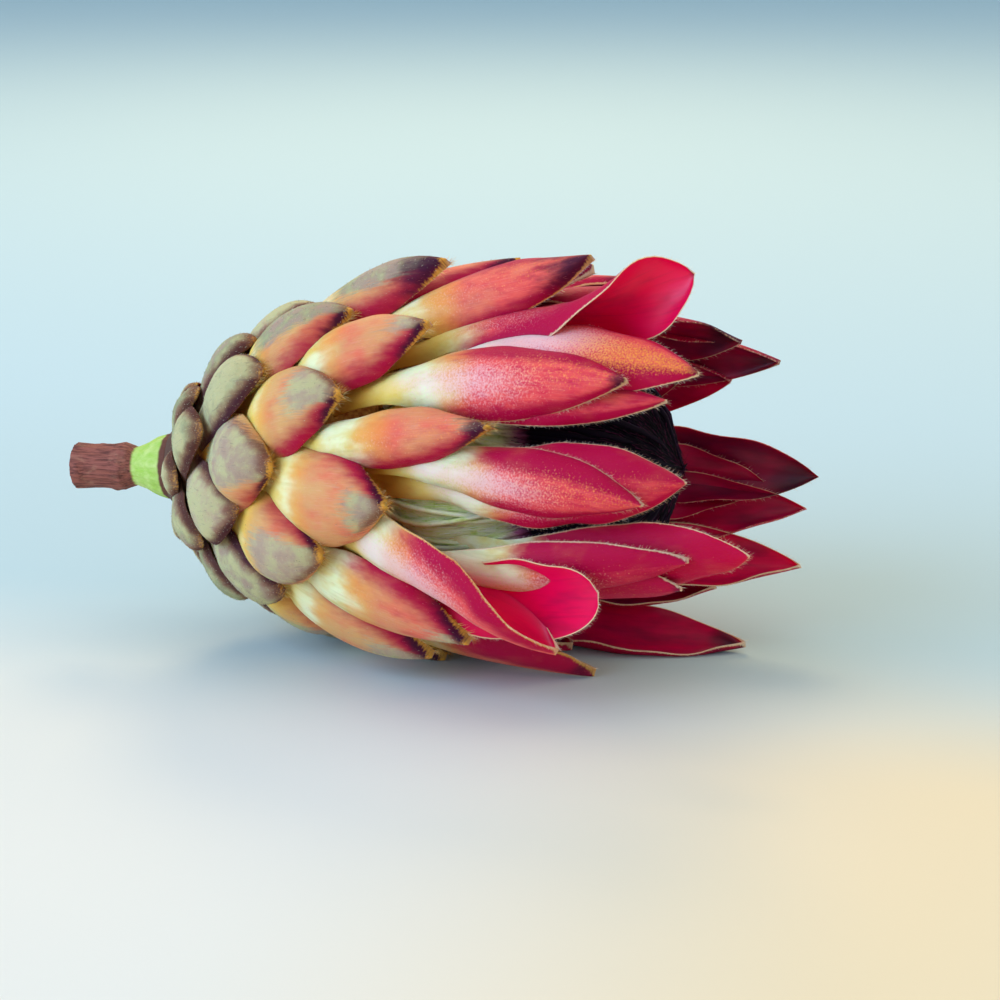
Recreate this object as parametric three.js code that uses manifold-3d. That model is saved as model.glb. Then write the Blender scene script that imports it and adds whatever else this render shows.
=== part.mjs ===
// A cut protea flower lying on its side, in millimetres, +Z up.
// The stem points along -X and the flower opens along +X. It rests on the plane z = 0.
//
// The head is built round its own axis: x runs along it from the joint with the stem, an azimuth of
// 0 degrees faces -Y, 90 faces up and 180 faces +Y. Its bracts stand on one golden-angle spiral,
// numbered from the short scales at the stem to the long petal-like bracts round the opening.
import * as THREE from "three";
import { mergeVertices } from "three/addons/utils/BufferGeometryUtils.js";
import Module from "manifold-3d";

const wasm = await Module();
wasm.setup();

// How the flower lies: where the joint of stem and head is, and how far the axis rises to +X.
const JOINT_X = -43.4;
const JOINT_Y = 2.5;
const JOINT_Z = 28.6;
const AXIS_RISE_DEG = 3.5;
const TABLE_SIZE = 400;

// The spiral of bracts.
const GOLDEN_ANGLE = 137.508;
const START_AZIMUTH = 15.7;
const FIRST_BRACT = -24;
const FIRST_INNER_BRACT = 22;
const LAST_BRACT = 60;
const FALLEN_BRACTS = [45, 54, 55, 57, 58];

// Blade and joint sizes. Handles are shares of the distance from root to tip, and the shares of a
// blade's length say where its claw widens and where it rolls.
const BLADE_THICKNESS = 1.0;
const EDGE_THICKNESS = 0.6;
const TIP_HALF_WIDTH = 0.45;
const ROOT_SINK = 2.2;
const ROOT_HANDLE = 0.36;
const TIP_HANDLE = 0.38;
const CLAW_UNTIL = 0.4;
const ROLLS_AT = 0.2;
const ROLLED_AFTER = 0.6;
const ROLLED_BY = 0.95;
const EASE = 1.5;
const LARGEST_HALF_TURN = 1.35;
const CLOSER_TO_TIP = 1.2;
const GAP = 0.3;
const TIP_ABOVE_TABLE = 0.3;
const PRESSED_BELOW = 0.5;

// Stem, receptacle and the mass of florets, as pairs of distance along the axis and radius.
const STEM_CUT = -18.2;
const STEM_SIDES = 16;
const CORE_SIDES = 24;
const STEM_PROFILE = [
  [STEM_CUT, 3.9], [-15, 3.7], [-11.5, 3.75], [-9.6, 4.0], [-7.2, 3.2],
  [-5.2, 3.9], [-3.4, 4.9], [-1.6, 5.4], [-GAP, 5.6],
];
const RECEPTACLE = [[0, 6.5], [3, 9.5], [9, 14.5], [20, 18.5], [23, 17.3], [40, 15]];
const CUP_END = 22.4;
const CORE_END = 41;
const FLORET_BODY = [
  [CORE_END + GAP, 13], [46, 15.5], [54, 18.5], [62, 19.5], [72, 18.5], [78, 16], [82, 12.5],
  [85, 8], [86.5, 3],
];
const FLORET_COUNT = 64;
const FLORET_LENGTH = 9;
const FLORET_RADIUS = 1.8;
const FLORET_SINK = 2.4;
const FLORET_TIPS_FROM = 58;
const FLORET_TIPS_SPAN = 28;
const FLORET_LIFT = 0.2;
const FLORET_SIDES = 4;

// The outline of the closed head: distance along the axis, radius.
const OUTLINE = [
  [0, 6], [2.4, 13], [4.1, 16], [7, 19], [10, 22], [14, 24.8], [22, 27.4], [30, 28.9],
  [37, 29.8], [45, 31], [60, 32.5], [75, 33], [90, 32], [104, 30],
];

// How the bracts change along the spiral: pairs of bract number and value.
const ROOT_AT = [[-24, 0.9], [-18, 1.2], [0, 9], [21, 20], [22, 23.5], [60, 39]];
const TIP_AT = [
  [-24, 3.6], [-18, 8], [-13, 14], [-8, 19.5], [-5, 23], [0, 28.5], [5, 35], [8, 39], [13, 46.5],
  [16, 52], [18, 57], [21, 63.5], [24, 73], [29, 85], [34, 89], [39, 94], [47, 95], [60, 101],
];
const TIP_PROUD = [
  [-24, -1.8], [-18, -1.3], [-5, -0.6], [0, -0.2], [3, 0.3], [8, 1.2], [13, 2], [24, 2.4], [34, 0],
  [47, -2.5], [60, -1],
];
const ROOT_ANGLE = [[-18, 80], [0, 58], [22, 48], [60, 36]];
const TIP_FLARE = [
  [-18, -12], [-5, -9], [0, -4], [8, 10], [13, 16], [24, 14], [34, 4], [47, -4], [60, 6],
];
const WIDTH = [
  [-24, 9], [-18, 10.5], [-8, 14.5], [0, 17.5], [8, 18], [13, 18.5], [16, 16], [21, 13.5], [24, 14],
  [29, 15], [34, 14.5], [47, 15], [60, 14.5],
];
const CLAW_SHARE = [[-18, 0.95], [8, 0.9], [16, 0.72], [21, 0.55], [29, 0.36], [60, 0.33]];
const TIP_POINTEDNESS = [[-24, 0.6], [-5, 0.7], [5, 0.8], [13, 1.05], [29, 0.95], [60, 0.85]];
const WIDEST_AT = [[-18, 0.45], [8, 0.55], [16, 0.62], [24, 0.7], [60, 0.74]];
const HUG = [[-18, 1.0], [0, 0.85], [8, 0.7], [16, 0.42], [24, 0.34], [34, 0.32], [60, 0.34]];

// Bracts that have their own habit: reach along the axis and out from it in mm, turn, lean, flare
// and roll in degrees, where along the blade it starts to roll and is widest, shares of the usual
// width and of the usual radius across the blade, and how pointed its tip is.
const HABITS = {
  "-18": { out: -1.2 },
  "-16": { out: -0.6 },
  "-11": { out: -1.4 },
  "-10": { out: -1.6 },
  "-6": { out: -1 },
  "-3": { out: -0.8 },
  "-2": { out: -0.5 },
  2: { out: -2 },
  3: { reach: 4, out: 0.4, lean: 3 },
  7: { reach: -9, out: 2.2, lean: 11 },
  10: { reach: 7, out: 0.4, lean: -4 },
  11: { reach: 8, out: 3.1, lean: -8, flare: 3, roll: -22, wide: 0.8 },
  13: { reach: 1, wide: 1.05 },
  14: { out: 0.4 },
  15: { reach: -3, lean: 4 },
  16: { out: 0.4 },
  18: { reach: 1, out: 1.4, lean: -7.5 },
  19: { out: 0.1 },
  21: { reach: 1, turn: -1.5, lean: 2.5, wide: 0.8 },
  23: { reach: 3, lean: -14 },
  24: { reach: 3, out: 2.2, lean: 1, flare: 9, roll: -26, wide: 1.02, widest: 0.63 },
  26: { reach: -5, out: 3.6, lean: -25.5, roll: -65, wide: 1.5, cup: 0.74 },
  27: { reach: -4, out: 0.2 },
  28: { reach: -16, out: -2.5 },
  29: { out: 0.4, lean: -6 },
  30: { reach: -7 },
  31: { reach: -6, out: 2.4, turn: 5, lean: 18.5, flare: 20, roll: -172, rollsAt: 0.1, wide: 1.04,
    cup: 1.8, widest: 0.78, pointed: 0.45 },
  32: { reach: -14, out: -0.6 },
  34: { reach: -1, out: 0.8, turn: 6, lean: -13, wide: 0.78, widest: 0.76 },
  35: { reach: 9, out: -0.6, lean: 8 },
  36: { reach: -22, out: -6 },
  37: { reach: 1, out: 4.8, lean: 8, flare: 24, roll: 108, rollsAt: 0.5, wide: 1.15, cup: 0.95,
    widest: 0.84, pointed: 0.65 },
  38: { reach: 10, out: -1.5, turn: 7 },
  39: { out: 0.4, lean: 8, roll: -15, wide: 0.8 },
  40: { reach: -10, out: -2 },
  41: { out: 5, lean: -2, flare: 7 },
  42: { reach: -4, out: -1.6, turn: 4, lean: 0, wide: 0.6 },
  43: { reach: -4, out: -1.4, turn: -6 },
  44: { reach: -24, out: -6 },
  46: { reach: 8, lean: 9, wide: 0.9 },
  47: { reach: -1, out: 0.4, turn: 9, lean: 2, wide: 1.02 },
  48: { reach: -2, out: -1.2, lean: 8 },
  49: { reach: -24, out: -6 },
  50: { reach: -1, out: 1.6, turn: 5, lean: -14, wide: 1.15, widest: 0.62 },
  51: { reach: 8, lean: 8, wide: 1 },
  52: { reach: -5, out: 0.6, turn: 2, lean: 8, flare: 16, roll: -20, wide: 1.1 },
  53: { reach: -14, out: -4 },
  56: { reach: -16, out: -5 },
  59: { reach: -5, out: -1.8, turn: -10 },
  60: { reach: 2, out: -0.5, turn: -8, lean: 8, flare: -4, cup: 0.7 },
};

const NO_HABIT = { reach: 0, out: 0, turn: 0, lean: 0, flare: 0, roll: 0, rollsAt: ROLLS_AT, wide: 1, cup: 1 };

const COLOURS = { bark: "#7d4a3a", scale: "#a08c74", petal: "#c81f52", floret: "#2c1228" };
const AXIS = new THREE.Vector3(1, 0, 0);
const radians = THREE.MathUtils.degToRad;

// The value at x on the straight lines through a list of pairs.
function along(pairs, x) {
  if (x <= pairs[0][0]) return pairs[0][1];
  for (let i = 1; i < pairs.length; i++) {
    const [x0, y0] = pairs[i - 1];
    const [x1, y1] = pairs[i];
    if (x <= x1) return y0 + ((y1 - y0) * (x - x0)) / (x1 - x0);
  }
  return pairs.at(-1)[1];
}

// A seeded draw between -1 and 1, and a drawn habit for a bract that has none of its own.
function draw(number, which) {
  const x = Math.sin(number * 12.9898 + which * 78.233) * 43758.5453;
  return 2 * (x - Math.floor(x)) - 1;
}

function drawnHabit(number) {
  return {
    reach: 1.5 * draw(number, 0),
    lean: 4 * draw(number, 1),
    flare: 4 * draw(number, 2),
    roll: 7 * draw(number, 3),
  };
}

// The angle of a list's line at x, measured over a reach to both sides.
function slopeOf(pairs, x, reach) {
  return Math.atan2(along(pairs, x + reach) - along(pairs, x - reach), 2 * reach);
}

function smooth(x) {
  const c = THREE.MathUtils.clamp(x, 0, 1);
  return c * c * (3 - 2 * c);
}

// The direction out from the axis at an azimuth, and the direction round the axis there.
function outward(azimuth) {
  return new THREE.Vector3(0, -Math.cos(azimuth), Math.sin(azimuth));
}

function sideways(azimuth) {
  return new THREE.Vector3(0, Math.sin(azimuth), Math.cos(azimuth));
}

// A bract's measures: its line from root to tip in the plane of axis and radius, and its outline.
function bractPlan(number) {
  const own = HABITS[number] ?? drawnHabit(number);
  const habit = { ...NO_HABIT, ...own };
  const azimuth = START_AZIMUTH + GOLDEN_ANGLE * number + habit.turn;
  const rootX = along(ROOT_AT, number);
  const rootRadius = along(RECEPTACLE, rootX) - ROOT_SINK;
  const tipX = along(TIP_AT, number) + habit.reach;
  const down = -Math.sin(radians(azimuth + habit.lean));
  let tipRadius = along(OUTLINE, tipX) + along(TIP_PROUD, number) + habit.out;
  if (down > PRESSED_BELOW) {
    const room = JOINT_Z + tipX * Math.sin(radians(AXIS_RISE_DEG)) - TIP_ABOVE_TABLE;
    tipRadius = Math.min(tipRadius, room / down);
  }
  const outlineSlope = slopeOf(OUTLINE, tipX, 2);
  const rootAngle = radians(along(ROOT_ANGLE, number));
  const tipAngle = outlineSlope + radians(along(TIP_FLARE, number) + habit.flare);
  const root = new THREE.Vector2(rootX, rootRadius);
  const tip = new THREE.Vector2(tipX, tipRadius);
  const chord = root.distanceTo(tip);
  const rootHandle = new THREE.Vector2(ROOT_HANDLE * chord, 0).rotateAround(new THREE.Vector2(), rootAngle);
  const tipHandle = new THREE.Vector2(TIP_HANDLE * chord, 0).rotateAround(new THREE.Vector2(), tipAngle);
  return {
    azimuth,
    habit,
    line: new THREE.CubicBezierCurve(root, root.clone().add(rootHandle), tip.clone().sub(tipHandle), tip),
    width: along(WIDTH, number) * habit.wide,
    claw: along(CLAW_SHARE, number),
    broadBase: number < 21,
    widestAt: habit.widest ?? along(WIDEST_AT, number),
    pointed: habit.pointed ?? along(TIP_POINTEDNESS, number),
    rolledOver: Math.min(ROLLED_AFTER, ROLLED_BY - habit.rollsAt),
    hug: along(HUG, number) * habit.cup,
  };
}

// Half the blade's width at t, from 0 at the root to 1 at the tip.
function halfWidth(plan, t) {
  const clawUntil = plan.broadBase ? 0 : CLAW_UNTIL;
  const rise = smooth((t / plan.widestAt - clawUntil) / (1 - clawUntil));
  const past = THREE.MathUtils.clamp((t - plan.widestAt) / (1 - plan.widestAt), 0, 1);
  const share = (plan.claw + (1 - plan.claw) * rise) * (1 - past ** 2) ** plan.pointed;
  return Math.max(TIP_HALF_WIDTH, 0.5 * plan.width * share);
}

// The middle line's point at t in the head's frame.
function centreAt(plan, t) {
  const { x, y } = plan.line.getPoint(t);
  return outward(radians(plan.azimuth + plan.habit.lean * t * t)).multiplyScalar(y).addScaledVector(AXIS, x);
}

// The blade across the middle line at t: a row of points with their outward normals.
function bladeRow(plan, t, across) {
  const step = 0.01;
  const centre = centreAt(plan, t);
  const forward = centreAt(plan, Math.min(1, t + step)).sub(centreAt(plan, Math.max(0, t - step))).normalize();
  const side = sideways(radians(plan.azimuth + plan.habit.lean * t * t));
  side.addScaledVector(forward, -side.dot(forward)).normalize();
  const rolled = THREE.MathUtils.clamp((t - plan.habit.rollsAt) / plan.rolledOver, 0, 1) ** EASE;
  side.applyAxisAngle(forward, -radians(plan.habit.roll * rolled));
  const out = forward.clone().cross(side);
  const { y: radius } = plan.line.getPoint(t);
  const curl = radius * (1 + (plan.hug - 1) * Math.min(1, t / plan.widestAt) ** EASE);
  const halfTurn = Math.min(halfWidth(plan, t) / curl, LARGEST_HALF_TURN);
  const row = [];
  for (let j = 0; j <= across; j++) {
    const v = (2 * j) / across - 1;
    const normal = out.clone().applyAxisAngle(forward, -v * halfTurn);
    const point = centre.clone().addScaledVector(out, -curl).addScaledVector(normal, curl);
    const thickness = THREE.MathUtils.lerp(BLADE_THICKNESS, EDGE_THICKNESS, v * v);
    row.push({ point, normal, thickness });
  }
  return row;
}

// A closed solid from a grid of points: an outer face, an inner face and the rim between them.
function sheetSolid(rows) {
  const across = rows[0].length;
  const position = [];
  for (const face of [0.5, -0.5]) {
    for (const { point, normal, thickness } of rows.flat()) {
      position.push(...point.clone().addScaledVector(normal, face * thickness));
    }
  }
  const inner = rows.length * across;
  const index = [];
  const quad = (a, b, c, d) => index.push(a, b, c, a, c, d);
  for (let i = 0; i + 1 < rows.length; i++) {
    for (let j = 0; j + 1 < across; j++) {
      const a = i * across + j;
      quad(a, a + across, a + across + 1, a + 1);
      quad(inner + a, inner + a + 1, inner + a + across + 1, inner + a + across);
    }
    const left = i * across;
    const right = left + across - 1;
    quad(left, inner + left, inner + left + across, left + across);
    quad(right, right + across, inner + right + across, inner + right);
  }
  const last = (rows.length - 1) * across;
  for (let j = 0; j + 1 < across; j++) {
    quad(j, j + 1, inner + j + 1, inner + j);
    quad(last + j, inner + last + j, inner + last + j + 1, last + j + 1);
  }
  return solidFrom(index, position);
}

function solidFrom(index, position) {
  const mesh = new wasm.Mesh({
    numProp: 3,
    vertProperties: new Float32Array(position),
    triVerts: new Uint32Array(index),
  });
  return new wasm.Manifold(mesh);
}

// A three.js geometry as a solid, and a solid as a three.js geometry.
function solidOf(geometry) {
  const bare = new THREE.BufferGeometry().setIndex(geometry.index);
  bare.setAttribute("position", geometry.getAttribute("position"));
  const merged = mergeVertices(bare, 1e-4);
  return solidFrom([...merged.index.array], [...merged.getAttribute("position").array]);
}

function geometryOf(solid) {
  const mesh = solid.getMesh();
  const geometry = new THREE.BufferGeometry();
  geometry.setAttribute("position", new THREE.BufferAttribute(new Float32Array(mesh.vertProperties), 3));
  geometry.setIndex(new THREE.BufferAttribute(new Uint32Array(mesh.triVerts), 1));
  geometry.computeVertexNormals();
  return geometry;
}

// A body of revolution round the head's axis, closed at both ends on the axis.
function turned(profile, sides) {
  const points = profile.map(([x, radius]) => new THREE.Vector2(radius, x));
  const outline = [new THREE.Vector2(0, profile[0][0]), ...points, new THREE.Vector2(0, profile.at(-1)[0])];
  return solidOf(new THREE.LatheGeometry(outline, sides).rotateZ(-Math.PI / 2));
}

function bract(number) {
  const plan = bractPlan(number);
  const rowCount = number < -8 ? 3 : number < 8 ? 4 : number < 21 ? 5 : 6;
  const across = number < -8 ? 3 : 4;
  const rows = [];
  for (let i = 0; i <= rowCount; i++) {
    const evenly = i / rowCount;
    rows.push(bladeRow(plan, 1 - (1 - evenly) ** CLOSER_TO_TIP, across));
  }
  return sheetSolid(rows);
}

function bracts(from, to) {
  const made = [];
  for (let number = from; number <= to; number++) {
    if (!FALLEN_BRACTS.includes(number)) made.push(bract(number));
  }
  return made;
}

// One floret's pointed tip, laid forward over the next on the floret body's surface.
function floret(index) {
  const share = (index + 0.5) / FLORET_COUNT;
  const x = FLORET_TIPS_FROM + FLORET_TIPS_SPAN * Math.sin((share * Math.PI) / 2);
  const radius = along(FLORET_BODY, x);
  const slope = slopeOf(FLORET_BODY, x, 0.5);
  const azimuth = radians(GOLDEN_ANGLE * index);
  const normal = outward(azimuth).multiplyScalar(Math.cos(slope)).addScaledVector(AXIS, -Math.sin(slope));
  const direction = AXIS.clone().lerp(normal, FLORET_LIFT).normalize();
  const root = outward(azimuth).multiplyScalar(radius).addScaledVector(AXIS, x);
  const middle = root.addScaledVector(direction, FLORET_LENGTH / 2 - FLORET_SINK);
  const upright = new THREE.Vector3(0, 1, 0);
  const cone = new THREE.ConeGeometry(FLORET_RADIUS, FLORET_LENGTH, FLORET_SIDES)
    .applyQuaternion(new THREE.Quaternion().setFromUnitVectors(upright, direction))
    .translate(middle.x, middle.y, middle.z);
  return solidOf(cone);
}

// The stem, ringed where scales have dropped, with its cut end square to the axis.
function stem() {
  return turned(STEM_PROFILE, STEM_SIDES);
}

// The receptacle's cup with the short outer bracts, and its upper part with the long inner ones.
function outerBracts() {
  const rim = along(RECEPTACLE, CUP_END);
  const inside = RECEPTACLE.filter(([x]) => x > 0 && x < CUP_END);
  const cup = turned([[0, RECEPTACLE[0][1]], ...inside, [CUP_END, rim]], CORE_SIDES);
  return wasm.Manifold.union([cup, ...bracts(FIRST_BRACT, FIRST_INNER_BRACT - 1)]);
}

function innerBracts() {
  const foot = CUP_END + GAP;
  const ends = [foot, CORE_END].map((x) => [x, along(RECEPTACLE, x)]);
  const core = turned(ends, CORE_SIDES);
  return wasm.Manifold.union([core, ...bracts(FIRST_INNER_BRACT, LAST_BRACT)]);
}

function florets() {
  const tips = Array.from({ length: FLORET_COUNT }, (_, index) => floret(index));
  return wasm.Manifold.union([turned(FLORET_BODY, CORE_SIDES), ...tips]);
}

// The head's place on the table, and everything below the table in the head's frame.
const flower = new THREE.Group();
flower.position.set(JOINT_X, JOINT_Y, JOINT_Z);
flower.rotation.y = -radians(AXIS_RISE_DEG);
flower.updateMatrixWorld(true);
const underTable = new THREE.BoxGeometry(TABLE_SIZE, TABLE_SIZE, TABLE_SIZE).translate(0, 0, -TABLE_SIZE / 2);
const belowTable = solidOf(underTable.applyMatrix4(flower.matrixWorld.clone().invert()));

function addNode(name, solid, colour, roughness) {
  const material = new THREE.MeshStandardMaterial({ color: colour, roughness, metalness: 0 });
  const mesh = new THREE.Mesh(geometryOf(solid.subtract(belowTable)), material);
  mesh.name = name;
  flower.add(mesh);
}

addNode("stem", stem(), COLOURS.bark, 0.85);
addNode("outer_bracts", outerBracts(), COLOURS.scale, 0.7);
addNode("inner_bracts", innerBracts(), COLOURS.petal, 0.55);
addNode("florets", florets(), COLOURS.floret, 0.9);

export default flower;
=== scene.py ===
# %% [markdown]
# # A cut protea flower, laid on its side
#
# A protea head is not one flower but many. Small florets stand packed in the middle, and round them
# a spiral of bracts takes the place of petals: short felted scales at the stem, longer and redder
# ones toward the opening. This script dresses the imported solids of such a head: it makes the fine
# bracts, the florets, the bark and the hairs, and then the light and the camera.
#
# Everything is worked out in the head's own frame, in millimetres, and laid down once at the end.

# %% Load the frame
import math

import bpy
import numpy as np
from mathutils import Matrix, Vector


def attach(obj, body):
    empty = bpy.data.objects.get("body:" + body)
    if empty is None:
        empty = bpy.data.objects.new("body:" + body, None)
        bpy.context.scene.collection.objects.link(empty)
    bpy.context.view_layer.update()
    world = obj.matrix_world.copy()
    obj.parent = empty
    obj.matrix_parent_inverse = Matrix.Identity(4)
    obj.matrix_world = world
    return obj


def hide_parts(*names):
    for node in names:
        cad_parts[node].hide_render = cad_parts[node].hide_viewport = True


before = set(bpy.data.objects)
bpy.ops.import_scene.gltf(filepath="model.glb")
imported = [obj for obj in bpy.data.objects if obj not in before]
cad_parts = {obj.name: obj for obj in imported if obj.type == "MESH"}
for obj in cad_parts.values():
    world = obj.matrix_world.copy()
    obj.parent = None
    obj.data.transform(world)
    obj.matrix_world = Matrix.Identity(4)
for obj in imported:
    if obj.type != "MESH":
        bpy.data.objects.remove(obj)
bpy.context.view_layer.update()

# %% [markdown]
# ## The head's own frame
#
# The axis of the head rises a little toward the opening, because the flower leans on its longest
# bracts. A local frame along that axis keeps every rule simple: x runs along the axis from the joint
# of stem and head, and an azimuth of 0 degrees faces the viewer, 90 faces up. One matrix then lays
# the head on the table, and whatever would sink into the table is pressed flat on it, as the lowest
# bracts of the real head are by its weight.

# %% Lay a mesh down on the table
JOINT = (-43.4, 2.5, 28.6)
AXIS_RISE_DEG = 3.5
MM = 0.001
HEAD_TO_FRAME = (
    Matrix.Scale(MM, 4)
    @ Matrix.Translation(JOINT)
    @ Matrix.Rotation(-math.radians(AXIS_RISE_DEG), 4, "Y")
)


def lay_down(mesh):
    """Moves a mesh from the head's frame to the object's frame, no lower than the table."""
    mesh.transform(HEAD_TO_FRAME)
    places = np.empty(len(mesh.vertices) * 3, np.float32)
    mesh.vertices.foreach_get("co", places)
    places[2::3] = np.maximum(places[2::3], 0.0)
    mesh.vertices.foreach_set("co", places)
    mesh.update()


print("joint of stem and head, metres:", [round(c, 4) for c in HEAD_TO_FRAME.translation])

# %% [markdown]
# ## Small tools
#
# Three helpers carry the whole file. One turns hex colours, as a screen shows them, into the linear
# values that a shader needs. One adds a node and fills its sockets. One makes a mesh from plain
# arrays, with its attributes, so that materials can read where they are on a bract.


# %% Colours, nodes and meshes
def colour(hex_value):
    """An sRGB hex colour as linear red, green, blue and alpha."""
    parts = [int(hex_value[i : i + 2], 16) / 255 for i in (1, 3, 5)]
    return (*[c / 12.92 if c <= 0.04045 else ((c + 0.055) / 1.055) ** 2.4 for c in parts], 1.0)


def add_node(tree, kind, inputs=(), **settings):
    """Adds a node, sets its properties, and fills its inputs with values or other nodes' outputs."""
    node = tree.nodes.new(kind)
    for name, value in settings.items():
        setattr(node, name, value)
    for key, value in dict(inputs).items():
        target = next(s for i, s in enumerate(node.inputs) if key in (i, s.identifier, s.name))
        if isinstance(value, bpy.types.NodeSocket):
            tree.links.new(value, target)
        else:
            target.default_value = value
    return node


def new_material(name):
    """A new material and its node tree, with no nodes in it yet."""
    material = bpy.data.materials.new(name)
    material.use_nodes = True
    material.node_tree.nodes.clear()
    return material, material.node_tree


def keep_values(mesh, attributes):
    """Keeps each array of values on the mesh's points, as an attribute of that name."""
    for key, values in attributes.items():
        values = np.asarray(values, np.float32)
        is_vector = values.ndim == 2
        made = mesh.attributes.new(key, "FLOAT_VECTOR" if is_vector else "FLOAT", "POINT")
        made.data.foreach_set("vector" if is_vector else "value", values.ravel())


def mesh_from(name, points, faces, attributes=()):
    """A smooth mesh from points and faces, with one named attribute for each array of values."""
    mesh = bpy.data.meshes.new(name)
    mesh.from_pydata(np.asarray(points).tolist(), [], np.asarray(faces).tolist())
    mesh.polygons.foreach_set("use_smooth", [True] * len(mesh.polygons))
    keep_values(mesh, dict(attributes))
    return mesh


def triangles_of(mesh):
    return sum(len(face.vertices) - 2 for face in mesh.polygons)


def finished_piece(name, mesh):
    """An object at the origin with its place in its mesh, already laid down."""
    lay_down(mesh)
    piece = bpy.data.objects.new(name, mesh)
    bpy.context.scene.collection.objects.link(piece)
    print(f"{name}: {triangles_of(mesh)} triangles")
    return piece


print("crimson in linear values:", [round(c, 3) for c in colour("#B5123F")])

# %% [markdown]
# ## The spiral of bracts
#
# Bracts grow one after another, each turned by the golden angle from the last, so no two stand in
# line. A number from -24 to 60 counts them from the stem to the opening. Lists of pairs say how
# root, tip, width and curve change along the spiral, and a table of habits holds what is particular
# to single bracts, such as two near the opening that turn their inner face to the viewer. A rule
# with listed habits keeps the head a plant, and still lets it be this one.

# %% The measures that the spiral runs through
GOLDEN_ANGLE = 137.508
START_AZIMUTH = 15.7
# Places on the spiral where the flower has no bract.
FALLEN_BRACTS = (45, 54, 55, 57, 58)
BASAL_NUMBERS = range(-24, 0)
MIDDLE_NUMBERS = range(0, 22)
LONG_NUMBERS = range(22, 35)
INMOST_NUMBERS = range(35, 61)

# Pairs of a distance along the axis and a radius, in mm.
RECEPTACLE = [(0, 6.5), (3, 9.5), (9, 14.5), (20, 18.5), (23, 17.3), (40, 15)]
OUTLINE = [
    (0, 6), (2.4, 13), (4.1, 16), (7, 19), (10, 22), (14, 24.8), (22, 27.4), (30, 28.9),
    (37, 29.8), (45, 31), (60, 32.5), (75, 33), (90, 32), (104, 30),
]
# Pairs of a bract's number and a measure: mm for places and widths, degrees for angles, and shares
# of its length, its width or the head's radius for the rest.
ROOT_AT = [(-24, 0.9), (-18, 1.2), (0, 9), (21, 20), (22, 23.5), (60, 39)]
TIP_AT = [
    (-24, 3.6), (-18, 8), (-13, 14), (-8, 19.5), (-5, 23), (0, 28.5), (5, 35), (8, 39), (13, 46.5),
    (16, 52), (18, 57), (21, 63.5), (24, 73), (29, 85), (34, 89), (39, 94), (47, 95), (60, 101),
]
TIP_PROUD = [
    (-24, -1.8), (-18, -1.3), (-5, -0.6), (0, -0.2), (3, 0.3), (8, 1.2), (13, 2), (24, 2.4), (34, 0),
    (47, -2.5), (60, -1),
]
ROOT_ANGLE = [(-18, 80), (0, 58), (22, 48), (60, 36)]
TIP_FLARE = [(-18, -12), (-5, -9), (0, -4), (8, 10), (13, 16), (24, 14), (34, 4), (47, -4), (60, 6)]
WIDTH = [
    (-24, 9), (-18, 10.5), (-8, 14.5), (0, 17.5), (8, 18), (13, 18.5), (16, 16), (21, 13.5),
    (24, 14), (29, 15), (34, 14.5), (47, 15), (60, 14.5),
]
CLAW_SHARE = [(-18, 0.95), (8, 0.9), (16, 0.72), (21, 0.55), (29, 0.36), (60, 0.33)]
TIP_POINTEDNESS = [(-24, 0.6), (-5, 0.7), (5, 0.8), (13, 1.05), (29, 0.95), (60, 0.85)]
WIDEST_AT = [(-18, 0.45), (8, 0.55), (16, 0.62), (24, 0.7), (60, 0.74)]
HUG = [(-18, 1.0), (0, 0.85), (8, 0.7), (16, 0.42), (24, 0.34), (34, 0.32), (60, 0.34)]

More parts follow.
